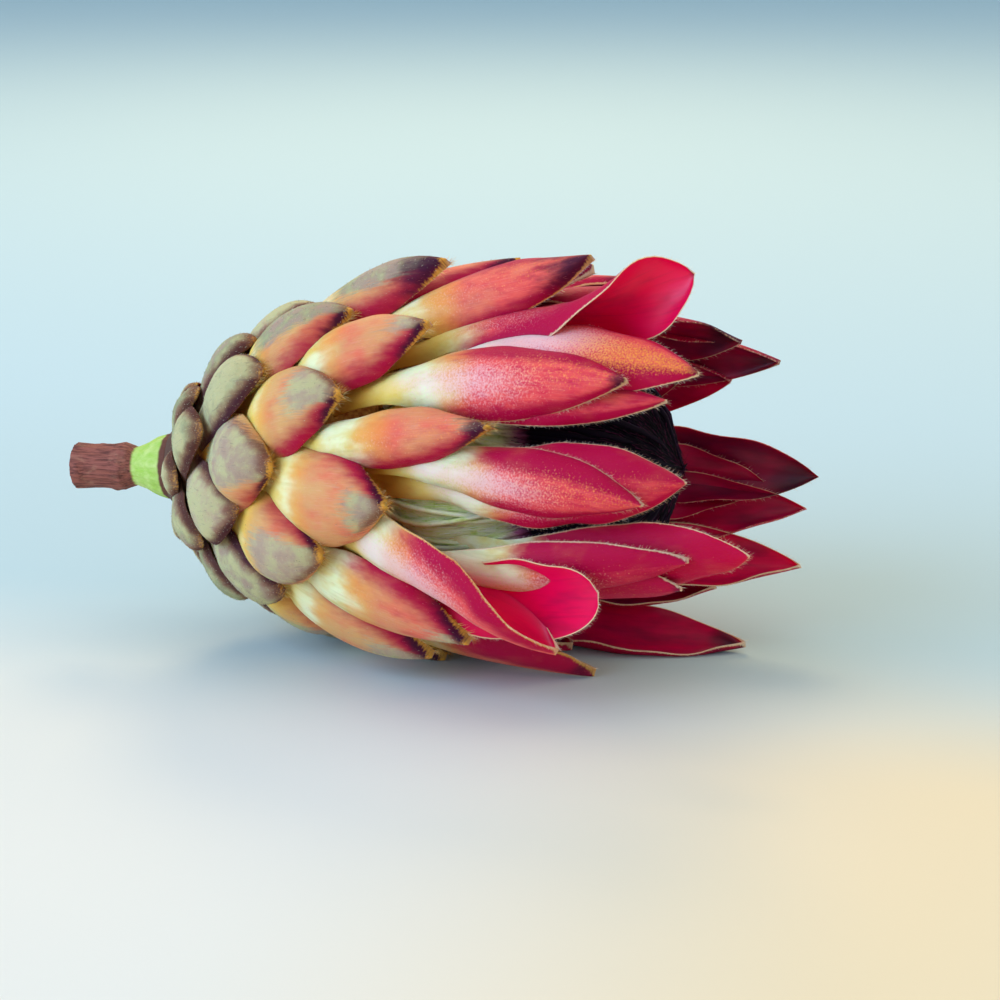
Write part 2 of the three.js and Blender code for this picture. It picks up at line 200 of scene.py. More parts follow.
# Reach and out are in mm. Turn, lean, flare and roll are in degrees. Where the blade starts to roll
# and is widest are shares of its length. Wide and cup are shares of the usual. The less pointed, the
# rounder the tip.
HABITS = {
    -18: {"out": -1.2},
    -16: {"out": -0.6},
    -11: {"out": -1.4},
    -10: {"out": -1.6},
    -6: {"out": -1},
    -3: {"out": -0.8},
    -2: {"out": -0.5},
    2: {"out": -2},
    3: {"reach": 4, "out": 0.4, "lean": 3},
    7: {"reach": -9, "out": 2.2, "lean": 11},
    10: {"reach": 7, "out": 0.4, "lean": -4},
    11: {"reach": 8, "out": 3.1, "lean": -8, "flare": 3, "roll": -22, "wide": 0.8},
    13: {"reach": 1, "wide": 1.05},
    14: {"out": 0.4},
    15: {"reach": -3, "lean": 4},
    16: {"out": 0.4},
    18: {"reach": 1, "out": 1.4, "lean": -7.5},
    19: {"out": 0.1},
    21: {"reach": 1, "turn": -1.5, "lean": 2.5, "wide": 0.8},
    23: {"reach": 3, "lean": -14},
    24: {"reach": 3, "out": 2.2, "lean": 1, "flare": 9, "roll": -26, "wide": 1.02, "widest": 0.63},
    26: {"reach": -5, "out": 3.6, "lean": -25.5, "roll": -65, "wide": 1.5, "cup": 0.74},
    27: {"reach": -4, "out": 0.2},
    28: {"reach": -16, "out": -2.5},
    29: {"out": 0.4, "lean": -6},
    30: {"reach": -7},
    31: {"reach": -6, "out": 2.4, "turn": 5, "lean": 18.5, "flare": 20, "roll": -172, "rolls_at": 0.1,
         "wide": 1.04, "cup": 1.8, "widest": 0.78, "pointed": 0.45},
    32: {"reach": -14, "out": -0.6},
    34: {"reach": -1, "out": 0.8, "turn": 6, "lean": -13, "wide": 0.78, "widest": 0.76},
    35: {"reach": 9, "out": -0.6, "lean": 8},
    36: {"reach": -22, "out": -6},
    37: {"reach": 1, "out": 4.8, "lean": 8, "flare": 24, "roll": 108, "rolls_at": 0.5, "wide": 1.15,
         "cup": 0.95, "widest": 0.84, "pointed": 0.65},
    38: {"reach": 10, "out": -1.5, "turn": 7},
    39: {"out": 0.4, "lean": 8, "roll": -15, "wide": 0.8},
    40: {"reach": -10, "out": -2},
    41: {"out": 5, "lean": -2, "flare": 7},
    42: {"reach": -4, "out": -1.6, "turn": 4, "wide": 0.6},
    43: {"reach": -4, "out": -1.4, "turn": -6},
    44: {"reach": -24, "out": -6},
    46: {"reach": 8, "lean": 9, "wide": 0.9},
    47: {"reach": -1, "out": 0.4, "turn": 9, "lean": 2, "wide": 1.02},
    48: {"reach": -2, "out": -1.2, "lean": 8},
    49: {"reach": -24, "out": -6},
    50: {"reach": -1, "out": 1.6, "turn": 5, "lean": -14, "wide": 1.15, "widest": 0.62},
    51: {"reach": 8, "lean": 8},
    52: {"reach": -5, "out": 0.6, "turn": 2, "lean": 8, "flare": 16, "roll": -20, "wide": 1.1},
    53: {"reach": -14, "out": -4},
    56: {"reach": -16, "out": -5},
    59: {"reach": -5, "out": -1.8, "turn": -10},
    60: {"reach": 2, "out": -0.5, "turn": -8, "lean": 8, "flare": -4, "cup": 0.7},
}
NO_HABIT = {
    "reach": 0, "out": 0, "turn": 0, "lean": 0, "flare": 0, "roll": 0, "rolls_at": 0.2, "wide": 1, "cup": 1,
    "widest": None, "pointed": None,
}
print(len(HABITS), "bracts have a habit of their own")


# %% From a number to a bract's plan
def along(pairs, x):
    """The value at x on the straight lines through a list of pairs."""
    return np.interp(x, [p[0] for p in pairs], [p[1] for p in pairs])


def smooth(x):
    c = np.clip(x, 0.0, 1.0)
    return c * c * (3 - 2 * c)


def draw(number, which):
    """A seeded draw between -1 and 1 for a bract's number."""
    x = math.sin(number * 12.9898 + which * 78.233) * 43758.5453
    return 2 * (x - math.floor(x)) - 1


def drawn_habit(number):
    """The small differences of a bract that has no habit of its own."""
    return {
        "reach": 1.5 * draw(number, 0),
        "lean": 4 * draw(number, 1),
        "flare": 4 * draw(number, 2),
        "roll": 7 * draw(number, 3),
    }


ROOT_SINK = 2.2
ROOT_HANDLE = 0.36
TIP_HANDLE = 0.38
SLOPE_STEP_MM = 2
BROAD_BASE_BEFORE = 21
ROLLED_AFTER = 0.6
ROLLED_BY = 0.95
PRESSED_BELOW = 0.5
TIP_ABOVE_TABLE = 0.3


def tip_radius(tip_x, number, habit, azimuth):
    """How far from the axis the tip stands, no lower than the table."""
    radius = along(OUTLINE, tip_x) + along(TIP_PROUD, number) + habit["out"]
    down = -math.sin(math.radians(azimuth + habit["lean"]))
    if down > PRESSED_BELOW:
        room = JOINT[2] + tip_x * math.sin(math.radians(AXIS_RISE_DEG)) - TIP_ABOVE_TABLE
        radius = min(radius, room / down)
    return radius


def bract_plan(number):
    """A bract's measures: its line in the plane of axis and radius, its width and its curve."""
    habit = {**NO_HABIT, **(HABITS.get(number) or drawn_habit(number))}
    azimuth = START_AZIMUTH + GOLDEN_ANGLE * number + habit["turn"]
    root_x = along(ROOT_AT, number)
    root = np.array([root_x, along(RECEPTACLE, root_x) - ROOT_SINK])
    tip_x = along(TIP_AT, number) + habit["reach"]
    tip = np.array([tip_x, tip_radius(tip_x, number, habit, azimuth)])
    chord = np.linalg.norm(tip - root)
    root_angle = math.radians(along(ROOT_ANGLE, number))
    climb = along(OUTLINE, tip_x + SLOPE_STEP_MM) - along(OUTLINE, tip_x - SLOPE_STEP_MM)
    slope = math.atan2(climb, 2 * SLOPE_STEP_MM)
    tip_angle = slope + math.radians(along(TIP_FLARE, number) + habit["flare"])
    after_root = root + ROOT_HANDLE * chord * np.array([math.cos(root_angle), math.sin(root_angle)])
    before_tip = tip - TIP_HANDLE * chord * np.array([math.cos(tip_angle), math.sin(tip_angle)])
    return {
        "number": number,
        "azimuth": azimuth,
        "habit": habit,
        "line": (root, after_root, before_tip, tip),
        "width": along(WIDTH, number) * habit["wide"],
        "claw": along(CLAW_SHARE, number),
        "broad_base": number < BROAD_BASE_BEFORE,
        "opened_flat": habit["cup"] > 1,
        "rolled_over": min(ROLLED_AFTER, ROLLED_BY - habit["rolls_at"]),
        "widest_at": habit["widest"] or along(WIDEST_AT, number),
        "pointed": habit["pointed"] or along(TIP_POINTEDNESS, number),
        "hug": along(HUG, number) * habit["cup"],
    }


for sample in (0, 26, 60):
    sample_plan = bract_plan(sample)
    tip_at = sample_plan["line"][3].round(1)
    print(f"bract {sample}: tip at {tip_at} mm, {sample_plan['width']:.1f} mm wide")

# %% [markdown]
# ## The surface of one blade
#
# A bract is a thin sheet bent twice: along its length, where it follows the swelling of the head,
# and across, where it hugs its neighbours. It could be modelled by hand eighty times, but a grid
# that runs along t from root to tip and along v from edge to edge gives every bract the same honest
# build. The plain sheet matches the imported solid. On top of it come the small forms that make it
# living tissue: a hooded tip, a faint midrib, a wavy margin and, on the scales, a cushion of felt.

# %% The plain sheet
CLAW_UNTIL = 0.4
TIP_HALF_WIDTH = 0.12
UNEVEN_SHARE = 0.025
DIRECTION_STEP = 0.01
EASE = 1.5
LARGEST_HALF_TURN = 1.35
HOOD_FROM = 0.7
HOOD_CURL = 1.2
HOOD_SPARE_MM = 0.6
HOOD = [(-24, 0.0), (-4, 0.15), (5, 0.7), (21, 0.8), (30, 0.5), (60, 0.35)]


def half_width(plan, t):
    """Half the blade's width in mm, for each t from 0 at the root to 1 at the tip."""
    claw_until = 0 if plan["broad_base"] else CLAW_UNTIL
    rise = smooth((t / plan["widest_at"] - claw_until) / (1 - claw_until))
    past = np.clip((t - plan["widest_at"]) / (1 - plan["widest_at"]), 0, 1)
    share = (plan["claw"] + (1 - plan["claw"]) * rise) * (1 - past**2) ** plan["pointed"]
    uneven = 1 + UNEVEN_SHARE * np.sin(9.0 * t + 3 * draw(plan["number"], 5))
    return np.maximum(TIP_HALF_WIDTH, 0.5 * plan["width"] * share * uneven)


def line_point(plan, t):
    """Distance along the axis and out from it on the bract's middle line."""
    a, b, c, d = plan["line"]
    t = t[:, None]
    s = 1 - t
    return s**3 * a + 3 * s * s * t * b + 3 * s * t * t * c + t**3 * d


def lean_azimuth(plan, t):
    return np.radians(plan["azimuth"] + plan["habit"]["lean"] * t * t)


def middle_line(plan, t):
    """The middle line in space."""
    x, radius = line_point(plan, t).T
    azimuth = lean_azimuth(plan, t)
    return np.stack([x, -radius * np.cos(azimuth), radius * np.sin(azimuth)], axis=1)


def unit(vectors):
    return vectors / np.linalg.norm(vectors, axis=-1, keepdims=True)


def directions(plan, t):
    """Forward along the blade, sideways across it and out from it, at each t."""
    ahead = middle_line(plan, np.minimum(1, t + DIRECTION_STEP))
    behind = middle_line(plan, np.maximum(0, t - DIRECTION_STEP))
    forward = unit(ahead - behind)
    azimuth = lean_azimuth(plan, t)
    side = np.stack([np.zeros_like(t), np.sin(azimuth), np.cos(azimuth)], axis=1)
    side = unit(side - forward * np.sum(side * forward, axis=1, keepdims=True))
    rolled = np.clip((t - plan["habit"]["rolls_at"]) / plan["rolled_over"], 0, 1) ** EASE
    turn = -np.radians(plan["habit"]["roll"] * rolled)[:, None]
    side = side * np.cos(turn) + np.cross(forward, side) * np.sin(turn)
    return forward, side, np.cross(forward, side)


def cross_curl(plan, t, half):
    """The radius of the arc across the blade: that of the head, tighter in a hooded tip."""
    radius = line_point(plan, t)[:, 1]
    curl = radius * (1 + (plan["hug"] - 1) * np.minimum(1, t / plan["widest_at"]) ** EASE)
    most = 0 if plan["opened_flat"] else along(HOOD, plan["number"])
    hooded = smooth((t - HOOD_FROM) / (1 - HOOD_FROM)) * most
    return curl + (np.minimum(curl, HOOD_CURL * half + HOOD_SPARE_MM) - curl) * hooded


def sheet(plan, t, v):
    """Points and outward normals of the middle sheet, with rows along t and columns along v."""
    half = half_width(plan, t)
    curl = cross_curl(plan, t, half)
    forward, side, out = directions(plan, t)
    turn = np.minimum(half / curl, LARGEST_HALF_TURN)[:, None] * v[None, :]
    normal = out[:, None] * np.cos(turn)[..., None] + side[:, None] * np.sin(turn)[..., None]
    centre = (middle_line(plan, t) - out * curl[:, None])[:, None]
    return centre + normal * curl[:, None, None], normal, half


flat_t = np.linspace(0, 1, 5)
print("half widths of bract 24 in mm:", half_width(bract_plan(24), flat_t).round(2))

# %% [markdown]
# ### What makes the sheet a living blade
#
# Each small form is one term of a height over the sheet, in millimetres: a ripple that grows toward
# the margins, slow dents where the blade was pressed against its neighbours in bud, a midrib, and
# the cushion of a felted scale. Terms that add up are easy to read and to tune one by one.

# %% Relief and thickness
RIPPLE = [(-24, 0.08), (0, 0.15), (10, 0.22), (22, 0.4), (60, 0.55)]
PUFF = [
    (-24, 0.3), (-12, 0.6), (-3, 0.9), (0, 1.5), (8, 2.1), (16, 1.9), (21, 1.6), (29, 1.3), (34, 0.9),
    (60, 0.3),
]
PUFF_FROM = 0.35
TUCK = [(-24, 0.8), (-5, 1.0), (0, 1.3), (10, 1.3), (21, 1.4), (34, 1.1), (47, 0.8), (60, 0.4)]
TIP_TUCK = [(-24, 0.7), (-5, 0.7), (3, 0.5), (13, 0.2), (34, 0.0)]
TIP_TUCKED_FROM = 0.75
TUCK_OF_FLAT_BLADE = 0.3
MIDRIB_HEIGHT = 0.14
MIDRIB_HALF_WIDTH = 0.7
DENT_DEPTH = 0.16
MIDDLE_THICKNESS = [(-24, 0.7), (0, 1.0), (14, 0.9), (30, 0.6), (60, 0.5)]
RIM_THICKNESS = 0.16


def relief(plan, t, v, half):
    """Height of the living surface over the plain sheet, in mm."""
    number = plan["number"]
    t = t[:, None]
    v = v[None, :]
    phase = np.where(v < 0, 6 * draw(number, 6), 6 * draw(number, 7))
    ripple = np.sin(17 * t + phase) + 0.6 * np.sin(37 * t + 2 * phase)
    ripple = ripple * np.abs(v) ** 3 * smooth(t / 0.4) * smooth((1 - t) / 0.1)
    dent = np.sin(8 * t + 5 * draw(number, 8)) * np.sin(2.4 * v + 4 * draw(number, 9)) * smooth(t / 0.3)
    ridge = np.exp(-((v * half[:, None] / MIDRIB_HALF_WIDTH) ** 2)) * smooth(t / 0.3)
    return along(RIPPLE, number) * ripple + DENT_DEPTH * dent + MIDRIB_HEIGHT * ridge


def puff(plan, t, v):
    """Height of the soft cushion on the outer face, in mm."""
    hump = np.sin(np.pi * np.clip((t - PUFF_FROM) / (1 - PUFF_FROM), 0, 1)) ** 0.7
    return along(PUFF, plan["number"]) * hump[:, None] * (1 - v[None, :] ** 2) ** 0.8


def tuck(plan, t, v):
    """How far the margins and the tip bend in toward the head, in mm."""
    number = plan["number"]
    margin = along(TUCK, number) * np.abs(v[None, :]) ** 3 * smooth(t[:, None] / 0.5)
    tip = along(TIP_TUCK, number) * smooth((t[:, None] - TIP_TUCKED_FROM) / (1 - TIP_TUCKED_FROM)) ** 2
    return np.maximum(margin, tip) * (TUCK_OF_FLAT_BLADE if plan["opened_flat"] else 1.0)


def blade(plan, t, v):
    """The outer and inner face of a bract as two grids of points, and half its width at each t."""
    points, normal, half = sheet(plan, t, v)
    middle = along(MIDDLE_THICKNESS, plan["number"])
    share = np.abs(v[None, :]) ** 3
    thickness = middle + (RIM_THICKNESS - middle) * np.maximum(share, t[:, None] ** 12)
    height = relief(plan, t, v, half) - tuck(plan, t, v)
    outer = points + normal * (height + 0.5 * thickness + puff(plan, t, v))[..., None]
    inner = points + normal * (height - 0.5 * thickness)[..., None]
    return outer, inner, half


def rows_to_tip(count):
    """Rows from root to tip, closer together at the tip."""
    return 1 - (1 - np.linspace(0, 1, count + 1)) ** 1.25


def columns_to_edges(count):
    """Columns from edge to edge, closer together at the edges."""
    return np.sin(np.linspace(-0.5, 0.5, count + 1) * np.pi)


outer_face, inner_face, _ = blade(bract_plan(26), rows_to_tip(12), columns_to_edges(8))
print("bract 26 is", round(float(np.abs(outer_face - inner_face).max()), 2), "mm thick at most")

# %% [markdown]
# ## Paint by place
#
# The colours of a bract are not a picture but a matter of place: cream in the claw, which grew in
# the dark, red where light reached the blade, felt on the tip, a dark line round it. So each vertex
# keeps soft masks, one for each of these layers, worked out from how far it is from root, tip and
# edge. The shader later breaks the masks up with noise. A painted texture would fix one picture on
# one bract. Masks give all eighty bracts their own version.

# %% Masks for every layer of colour
RED_SIDE = {0: -1, 3: -1, 5: 1, 8: -1, 10: 1, 11: -1, 13: 1, 16: -1, 18: 1, 21: -1, 24: -1, 29: -1}
FELT_FROM = [(-1, 0.0), (0, 0.2), (3, 0.4), (8, 0.66), (13, 0.77), (21, 0.86)]
BLUSH_FROM = [(0, 0.3), (10, 0.42), (16, 0.46), (24, 0.42), (60, 0.34)]
BLUSH_OVER = [(0, 0.3), (10, 0.3), (21, 0.26), (60, 0.24)]
CRIMSON_TO = [(-24, 0.0), (0, 0.5), (10, 0.85), (16, 0.8), (24, 0.8), (35, 1.1), (60, 1.3)]
USUAL_RED_MIDDLE = 0.1
RED_MIDDLE = {33: 0.8, 34: 0.2, 37: 0.5, 39: 0.5, 42: 0.3, 46: 0.9, 47: 0.35, 52: 1.0, 60: 0.7}
TURNING = [(-1, 0), (0, 0.5), (16, 0.8), (24, 1.0), (29, 0.8), (35, 0.4), (60, 0.3)]
# Amounts of the painted sheen of the silky hairs, a pale highlight down the middle of a blade.
PAINTED_SHEEN = [(16, 0.25), (21, 0.4), (24, 0.45), (29, 0.8), (34, 0.8), (50, 1.0)]
MORE_PAINTED_SHEEN = {26: 1.3, 29: 1.1, 34: 1.4, 39: 1.6, 47: 1.4, 50: 1.4, 60: 1.6}
LATE_BLUSH = {21: 0.03, 29: 0.07, 34: 0.1, 39: 0.1, 47: 0.03, 60: 0.1}
FAINT_RIMS = (35, 38, 43, 48, 51, 56, 59)
FAINT_RIM_SHARE = 0.4
# Painted glow: deeper than this under the outline, the blade is painted golden in place of light that shines
# through into the gaps.
BURIED_FROM_MM = 1.2
BURIED_OVER_MM = 6.0
BURIED_BEFORE_X = 44
BURIED_FADES_OVER = 14
FELT_MOVED = {11: 0.25}
FELT_EDGE_T = 0.26
AGE = [(-24, 0.0), (0, 0.15), (21, 0.5), (34, 0.9), (60, 1.0)]
GLOW = {
    16: 0.3, 19: 0.5, 21: 0.5, 24: 0.5, 26: 0.3, 29: 0.6, 34: 0.6, 39: 0.3, 47: 0.45, 50: 1.0, 52: 0.35,
}
# Painted shade on the inner faces: how far each lining is darkened to wine red; the ones that turn to the
# light stay bright.
PAINTED_SHADE_ON_LININGS = {26: 0.1, 31: 0.0, 37: 0.12, 38: 0.55, 41: 0.5, 46: 0.35}
NOISE_APART = 11.3
DARK_TIPS_MM = {
    11: 11, 19: 5, 21: 5.5, 22: 6, 23: 7, 24: 11, 27: 6, 29: 3.5, 32: 7, 35: 9, 37: 1, 41: 9, 48: 11,
    50: 2.5, 51: 12, 52: 2, 56: 3,
}


def length_of(plan):
    """The length of a bract's middle line in mm."""
    line = middle_line(plan, np.linspace(0, 1, 40))
    return float(np.linalg.norm(np.diff(line, axis=0), axis=1).sum())


def bell(distance, reach):
    """1 at no distance, and less than a tenth at one and a half times the reach."""
    return np.exp(-((distance / reach) ** 2))


def long_layers(number, t, v, red_side, edge):
    """The layers of the long bracts: blush from the claw on, crimson beside the middle, a golden rim."""
    blush_from = along(BLUSH_FROM, number) + LATE_BLUSH.get(number, 0) + 0.04 * draw(number, 13)
    from_middle = np.abs(v - 0.2 * red_side)
    beside_middle = RED_MIDDLE.get(number, USUAL_RED_MIDDLE) + smooth((from_middle - 0.3) / 0.5)
    rim = FAINT_RIM_SHARE if number in FAINT_RIMS else 1.0
    return {
        "blush": smooth((t - blush_from) / along(BLUSH_OVER, number)),
        "crimson": smooth((t - blush_from) / 0.3) * beside_middle,
        "felt": 0 * t,
        "dark": 0 * t,
        "gold": bell(edge, 0.13) * smooth((t - 0.35) / 0.2) * rim,
    }


def felted_layers(number, t, v, red_side, edge, to_tip):
    """What differs on scales and middle bracts: a felted tip, a dark edge and a golden fringe."""
    on_red_side = smooth(0.5 + 0.9 * red_side * v)
    patch = np.abs(v + 0.22 * red_side) / (0.85 + 0.6 * bell(to_tip, 2.0))
    in_patch = smooth((1.15 - patch) / 0.7)
    past_start = t - along(FELT_FROM, number) + FELT_MOVED.get(number, 0) + 0.08
    return {
        "crimson": smooth((t - 0.35) / 0.3) * bell(edge, 2.6) * (0.1 + 0.8 * on_red_side),
        "felt": smooth(past_start / FELT_EDGE_T) * in_patch,
        "dark": smooth((t - 0.76) / 0.2) * bell(edge, 1.2) * (0.25 + 0.75 * on_red_side),
        "gold": np.maximum(0.8 * bell(edge, 0.25) * smooth((t - 0.82) / 0.12), bell(to_tip, 1.0)),
    }


def basal_layers(number, t, edge, to_tip):
    """What differs on the short scales at the stem: felt all over, and a brown edge that is partly the
    scales' own dark joint and partly painted shade where each scale meets the next.
    """
    return {
        "blush": 0.45 + 0.35 * draw(number, 11) + 0 * t,
        "crimson": 0 * t,
        "felt": 1 + 0 * t,
        # Partly painted shade: the dark band along each edge also darkens the scale where it meets its
        # neighbours.
        "dark": bell(edge, 1.3) * smooth((t - 0.15) / 0.2) * (1 - 0.6 * bell(to_tip, 1.2)),
        "gold": 0.5 * bell(to_tip, 1.2),
    }


def painted_silk_sheen_layer(number, t, v, red_side, felt):
    """A painted sheen of pale silk down the middle of a blade, where it is neither felted nor red there."""
    painted_silk_sheen = smooth((t - 0.2) / 0.15) * (1 - smooth((t - 0.58) / 0.4)) * bell(v - 0.2 * red_side, 0.55)
    painted_silk_sheen = painted_silk_sheen * (1 - 0.85 * RED_MIDDLE.get(number, USUAL_RED_MIDDLE))
    return painted_silk_sheen * MORE_PAINTED_SHEEN.get(number, along(PAINTED_SHEEN, number)) * (1 - felt)


def painted_gap_glow_layer(plan, t, v):
    """A painted golden glow where the blade lies deep under its neighbours, in place of light that shines
    through the tissue into the gaps.
    """
    spots = sheet(plan, t, v)[0]
    depth = along(OUTLINE, spots[..., 0]) - np.hypot(spots[..., 1], spots[..., 2])
    deep_enough = smooth((depth - BURIED_FROM_MM) / BURIED_OVER_MM)
    return deep_enough * (1 - smooth((spots[..., 0] - BURIED_BEFORE_X) / BURIED_FADES_OVER))


def masks(plan, t, v, half):
    """How much of each layer of colour every point of the blade takes, from 0 to 1."""
    number = plan["number"]
    painted_gap_glow = painted_gap_glow_layer(plan, t, v)
    t = t[:, None] + 0 * v[None, :]
    v = v[None, :] + 0 * t
    to_tip = (1 - t) * length_of(plan)
    edge = np.minimum((1 - np.abs(v)) * half[:, None], to_tip)
    red_side = RED_SIDE.get(number, 1 if draw(number, 10) > 0 else -1)
    layers = long_layers(number, t, v, red_side, edge)
    if number < LONG_NUMBERS.start:
        layers.update(felted_layers(number, t, v, red_side, edge, to_tip))
    if number < MIDDLE_NUMBERS.start:
        layers.update(basal_layers(number, t, edge, to_tip))
    blush = layers["blush"]
    dark = layers["dark"]
    if number in DARK_TIPS_MM:
        one_sided = 0.75 + 0.25 * red_side * v
        dark = np.maximum(dark, smooth(1.15 - to_tip / DARK_TIPS_MM[number]) * one_sided)
    return {
        "blush": blush,
        "turning": 4 * blush * (1 - blush) * along(TURNING, number),
        "crimson": along(CRIMSON_TO, number) * layers["crimson"],
        "felt": layers["felt"],
        "dark": dark,
        "gold": layers["gold"],
        "glow": GLOW.get(number, 0.0) * smooth((t - 0.5) / 0.3) * smooth(1.2 - 1.3 * np.abs(v)),
        "painted_silk_sheen": painted_silk_sheen_layer(number, t, v, red_side, layers["felt"]),
        "painted_gap_glow": painted_gap_glow,
        "painted_shade": PAINTED_SHADE_ON_LININGS.get(number, 0.75 + 0.2 * draw(number, 14)) + 0 * t,
        "along": t,
        "edge_mm": edge,
        "age": along(AGE, number) + 0 * t,
        "tint": 0.5 + 0.5 * draw(number, 12) + 0 * t,
    }


def blade_millimetres(plan, t, v, half):
    """Where each point is on the flat blade: across and along in mm, and its own patch of noise."""
    across = v[None, :] * half[:, None]
    lengthwise = t[:, None] * length_of(plan) + 0 * across
    return np.stack([across, lengthwise, 0 * across + NOISE_APART * plan["number"]], axis=-1)


sample_masks = masks(bract_plan(16), rows_to_tip(6), columns_to_edges(4), np.ones(7))
print("layers of colour:", ", ".join(sample_masks))

# %% [markdown]
# ## Closed blades in one mesh
#
# Every bract becomes an outer face, an inner face and a thin rim that joins them, so it is closed
# and its faces point outwards. All bracts of a group share one pattern of faces and go into one
# mesh. Each face of each blade also gets its own cell in a map, like pressed petals on a sheet.


# %% One mesh for a group of bracts
def blade_faces(rows, columns):
    """Faces of one closed blade: the outer grid comes first, then the inner grid, then the rim."""
    wide = columns + 1
    inner = (rows + 1) * wide
    i, j = np.meshgrid(np.arange(rows), np.arange(columns), indexing="ij")
    a = (i * wide + j).ravel()
    outside = np.stack([a, a + wide, a + wide + 1, a + 1], axis=1)
    inside = inner + np.stack([a, a + 1, a + wide + 1, a + wide], axis=1)
    left = np.arange(rows) * wide
    right = left + columns
    foot = np.arange(columns)
    top = rows * wide + foot
    rim = [
        np.stack([left, inner + left, inner + left + wide, left + wide], axis=1),
        np.stack([right, right + wide, inner + right + wide, inner + right], axis=1),
        np.stack([foot, foot + 1, inner + foot + 1, inner + foot], axis=1),
        np.stack([top, inner + top, inner + top + 1, top + 1], axis=1),
    ]
    return outside, inside, np.concatenate(rim)


ATLAS_NAME = "OFBake"
CELL_MARGIN = 0.06
RIM_STRIP = 0.025


def cell_places(count, cells_wide, cells_high, t, v):
    """Map places of each blade's outer grid, inner grid and rim strip."""
    width = 1 - 2 * CELL_MARGIN
    u = CELL_MARGIN + width * (0.5 + 0.5 * v[None, :] + 0 * t[:, None])
    w = CELL_MARGIN + width * (t[:, None] + 0 * v[None, :])
    flat = np.stack([u, w], axis=-1).reshape(-1, 2)
    pushed = 0.5 + (flat - 0.5) * (1 + 2 * RIM_STRIP / width)
    places = []
    for cell in range(2 * count):
        corner = np.array([cell % cells_wide, cell // cells_wide])
        size = np.array([cells_wide, cells_high])
        places.append(((flat + corner) / size, (pushed + corner) / size))
    return places


def add_atlas(mesh, count, rows, columns, t, v, shape):
    """Gives each face of each blade its own cell in the map, with the rim beside the outer face."""
    outside, inside, rim = blade_faces(rows, columns)
    grid = (rows + 1) * (columns + 1)
    cells_wide = math.ceil(math.sqrt(2 * count * shape))
    cells_high = math.ceil(2 * count / cells_wide)
    places = cell_places(count, cells_wide, cells_high, t, v)
    loops = []
    for bract in range(count):
        outer_flat, outer_pushed = places[2 * bract]
        inner_flat = places[2 * bract + 1][0]
        loops.append(outer_flat[outside.ravel()])
        loops.append(inner_flat[inside.ravel() - grid])
        corners = rim.ravel()
        is_inner = (corners >= grid)[:, None]
        loops.append(np.where(is_inner, outer_pushed[corners % grid], outer_flat[corners % grid]))
    layer = mesh.uv_layers.new(name=ATLAS_NAME)
    layer.data.foreach_set("uv", np.concatenate(loops).astype(np.float32).ravel())


def bract_mesh(name, numbers, rows, columns, shape):
    """All bracts of a group as closed blades. Outer faces and rim take slot 0, inner faces slot 1."""
    t = rows_to_tip(rows)
    v = columns_to_edges(columns)
    outside, inside, rim = blade_faces(rows, columns)
    points, faces, layers, slots = [], [], {}, []
    for order, number in enumerate(numbers):
        plan = bract_plan(number)
        outer, inner, half = blade(plan, t, v)
        points += [outer.reshape(-1, 3), inner.reshape(-1, 3)]
        start = order * 2 * (rows + 1) * (columns + 1)
        faces += [outside + start, inside + start, rim + start]
        slots += [0] * len(outside) + [1] * len(inside) + [0] * len(rim)
        told = {**masks(plan, t, v, half), "blade": blade_millimetres(plan, t, v, half)}
        for key, values in told.items():
            flat = values.reshape(-1, 3) if values.ndim == 3 else values.ravel()
            layers.setdefault(key, []).extend([flat, flat])
    attributes = {key: np.concatenate(parts) for key, parts in layers.items()}
    mesh = mesh_from(name, np.concatenate(points), np.concatenate(faces), attributes)
    mesh.polygons.foreach_set("material_index", slots)
    add_atlas(mesh, len(numbers), rows, columns, t, v, shape)
    return mesh


print("faces of one small blade:", sum(len(part) for part in blade_faces(4, 4)))

# %% [markdown]
# ## Bract skin, outside
#
# The real thing is living plant skin under a coat of fine hairs: silky on the blades, felted and
# matt on scales and tips. The shader lays the colours one over the other in the order in which they
# lie on the plant, with painted light among them: cream tissue with green veins and a painted orange
# glow toward the claw, blush, crimson, a painted sheen of the silky hairs, a painted golden glow
# where a blade lies deep under its neighbours, felt, the dark line (on the scales partly painted
# shade) and the golden rim. Streaks are 0.14 mm wide and 3 mm long, like the small bundles that the
# hairs lie in. A picture could hold all this, but noise on the blade's own millimetres stays sharp
# from any distance and is different on every bract.

# %% Masks and noise for the shaders
STREAK_WIDTH_MM = 0.14
STREAK_LENGTH_MM = 3.0
RIB_WIDTH_MM = 0.8
RIB_LENGTH_MM = 16.0
CLOUD_MM = 4.0
BROAD_PATCH_MM = 3.0
FELT_GRAIN_MM = 0.3
FELT_CRACK_WIDTH_MM = 0.35
FELT_CRACK_LENGTH_MM = 2.5
SKIN_BUMP_M = 0.00012
# A Mix node's outputs are a number, a vector and a colour, in this order.
MIXED_COLOUR = 2


def told_masks(tree, *names):
    """The masks that the mesh keeps for each point, as outputs by name."""
    nodes = {name: add_node(tree, "ShaderNodeAttribute", attribute_name=name) for name in names}
    return {name: node.outputs["Fac"] for name, node in nodes.items()}


def blade_noise(tree, across_mm, along_mm, detail=3.0):
    """Noise on the blade's own millimetres, stretched to a pattern's real size."""
    place = add_node(tree, "ShaderNodeAttribute", attribute_name="blade").outputs["Vector"]
    scale = (1 / across_mm, 1 / along_mm, 1.0)
    scaled = add_node(tree, "ShaderNodeVectorMath", {0: place, 1: scale}, operation="MULTIPLY")
    noise = add_node(
        tree,
        "ShaderNodeTexNoise",
        {"Vector": scaled.outputs["Vector"], "Scale": 1.0, "Detail": detail, "Roughness": 0.55},
    )
    return noise.outputs["Fac"]


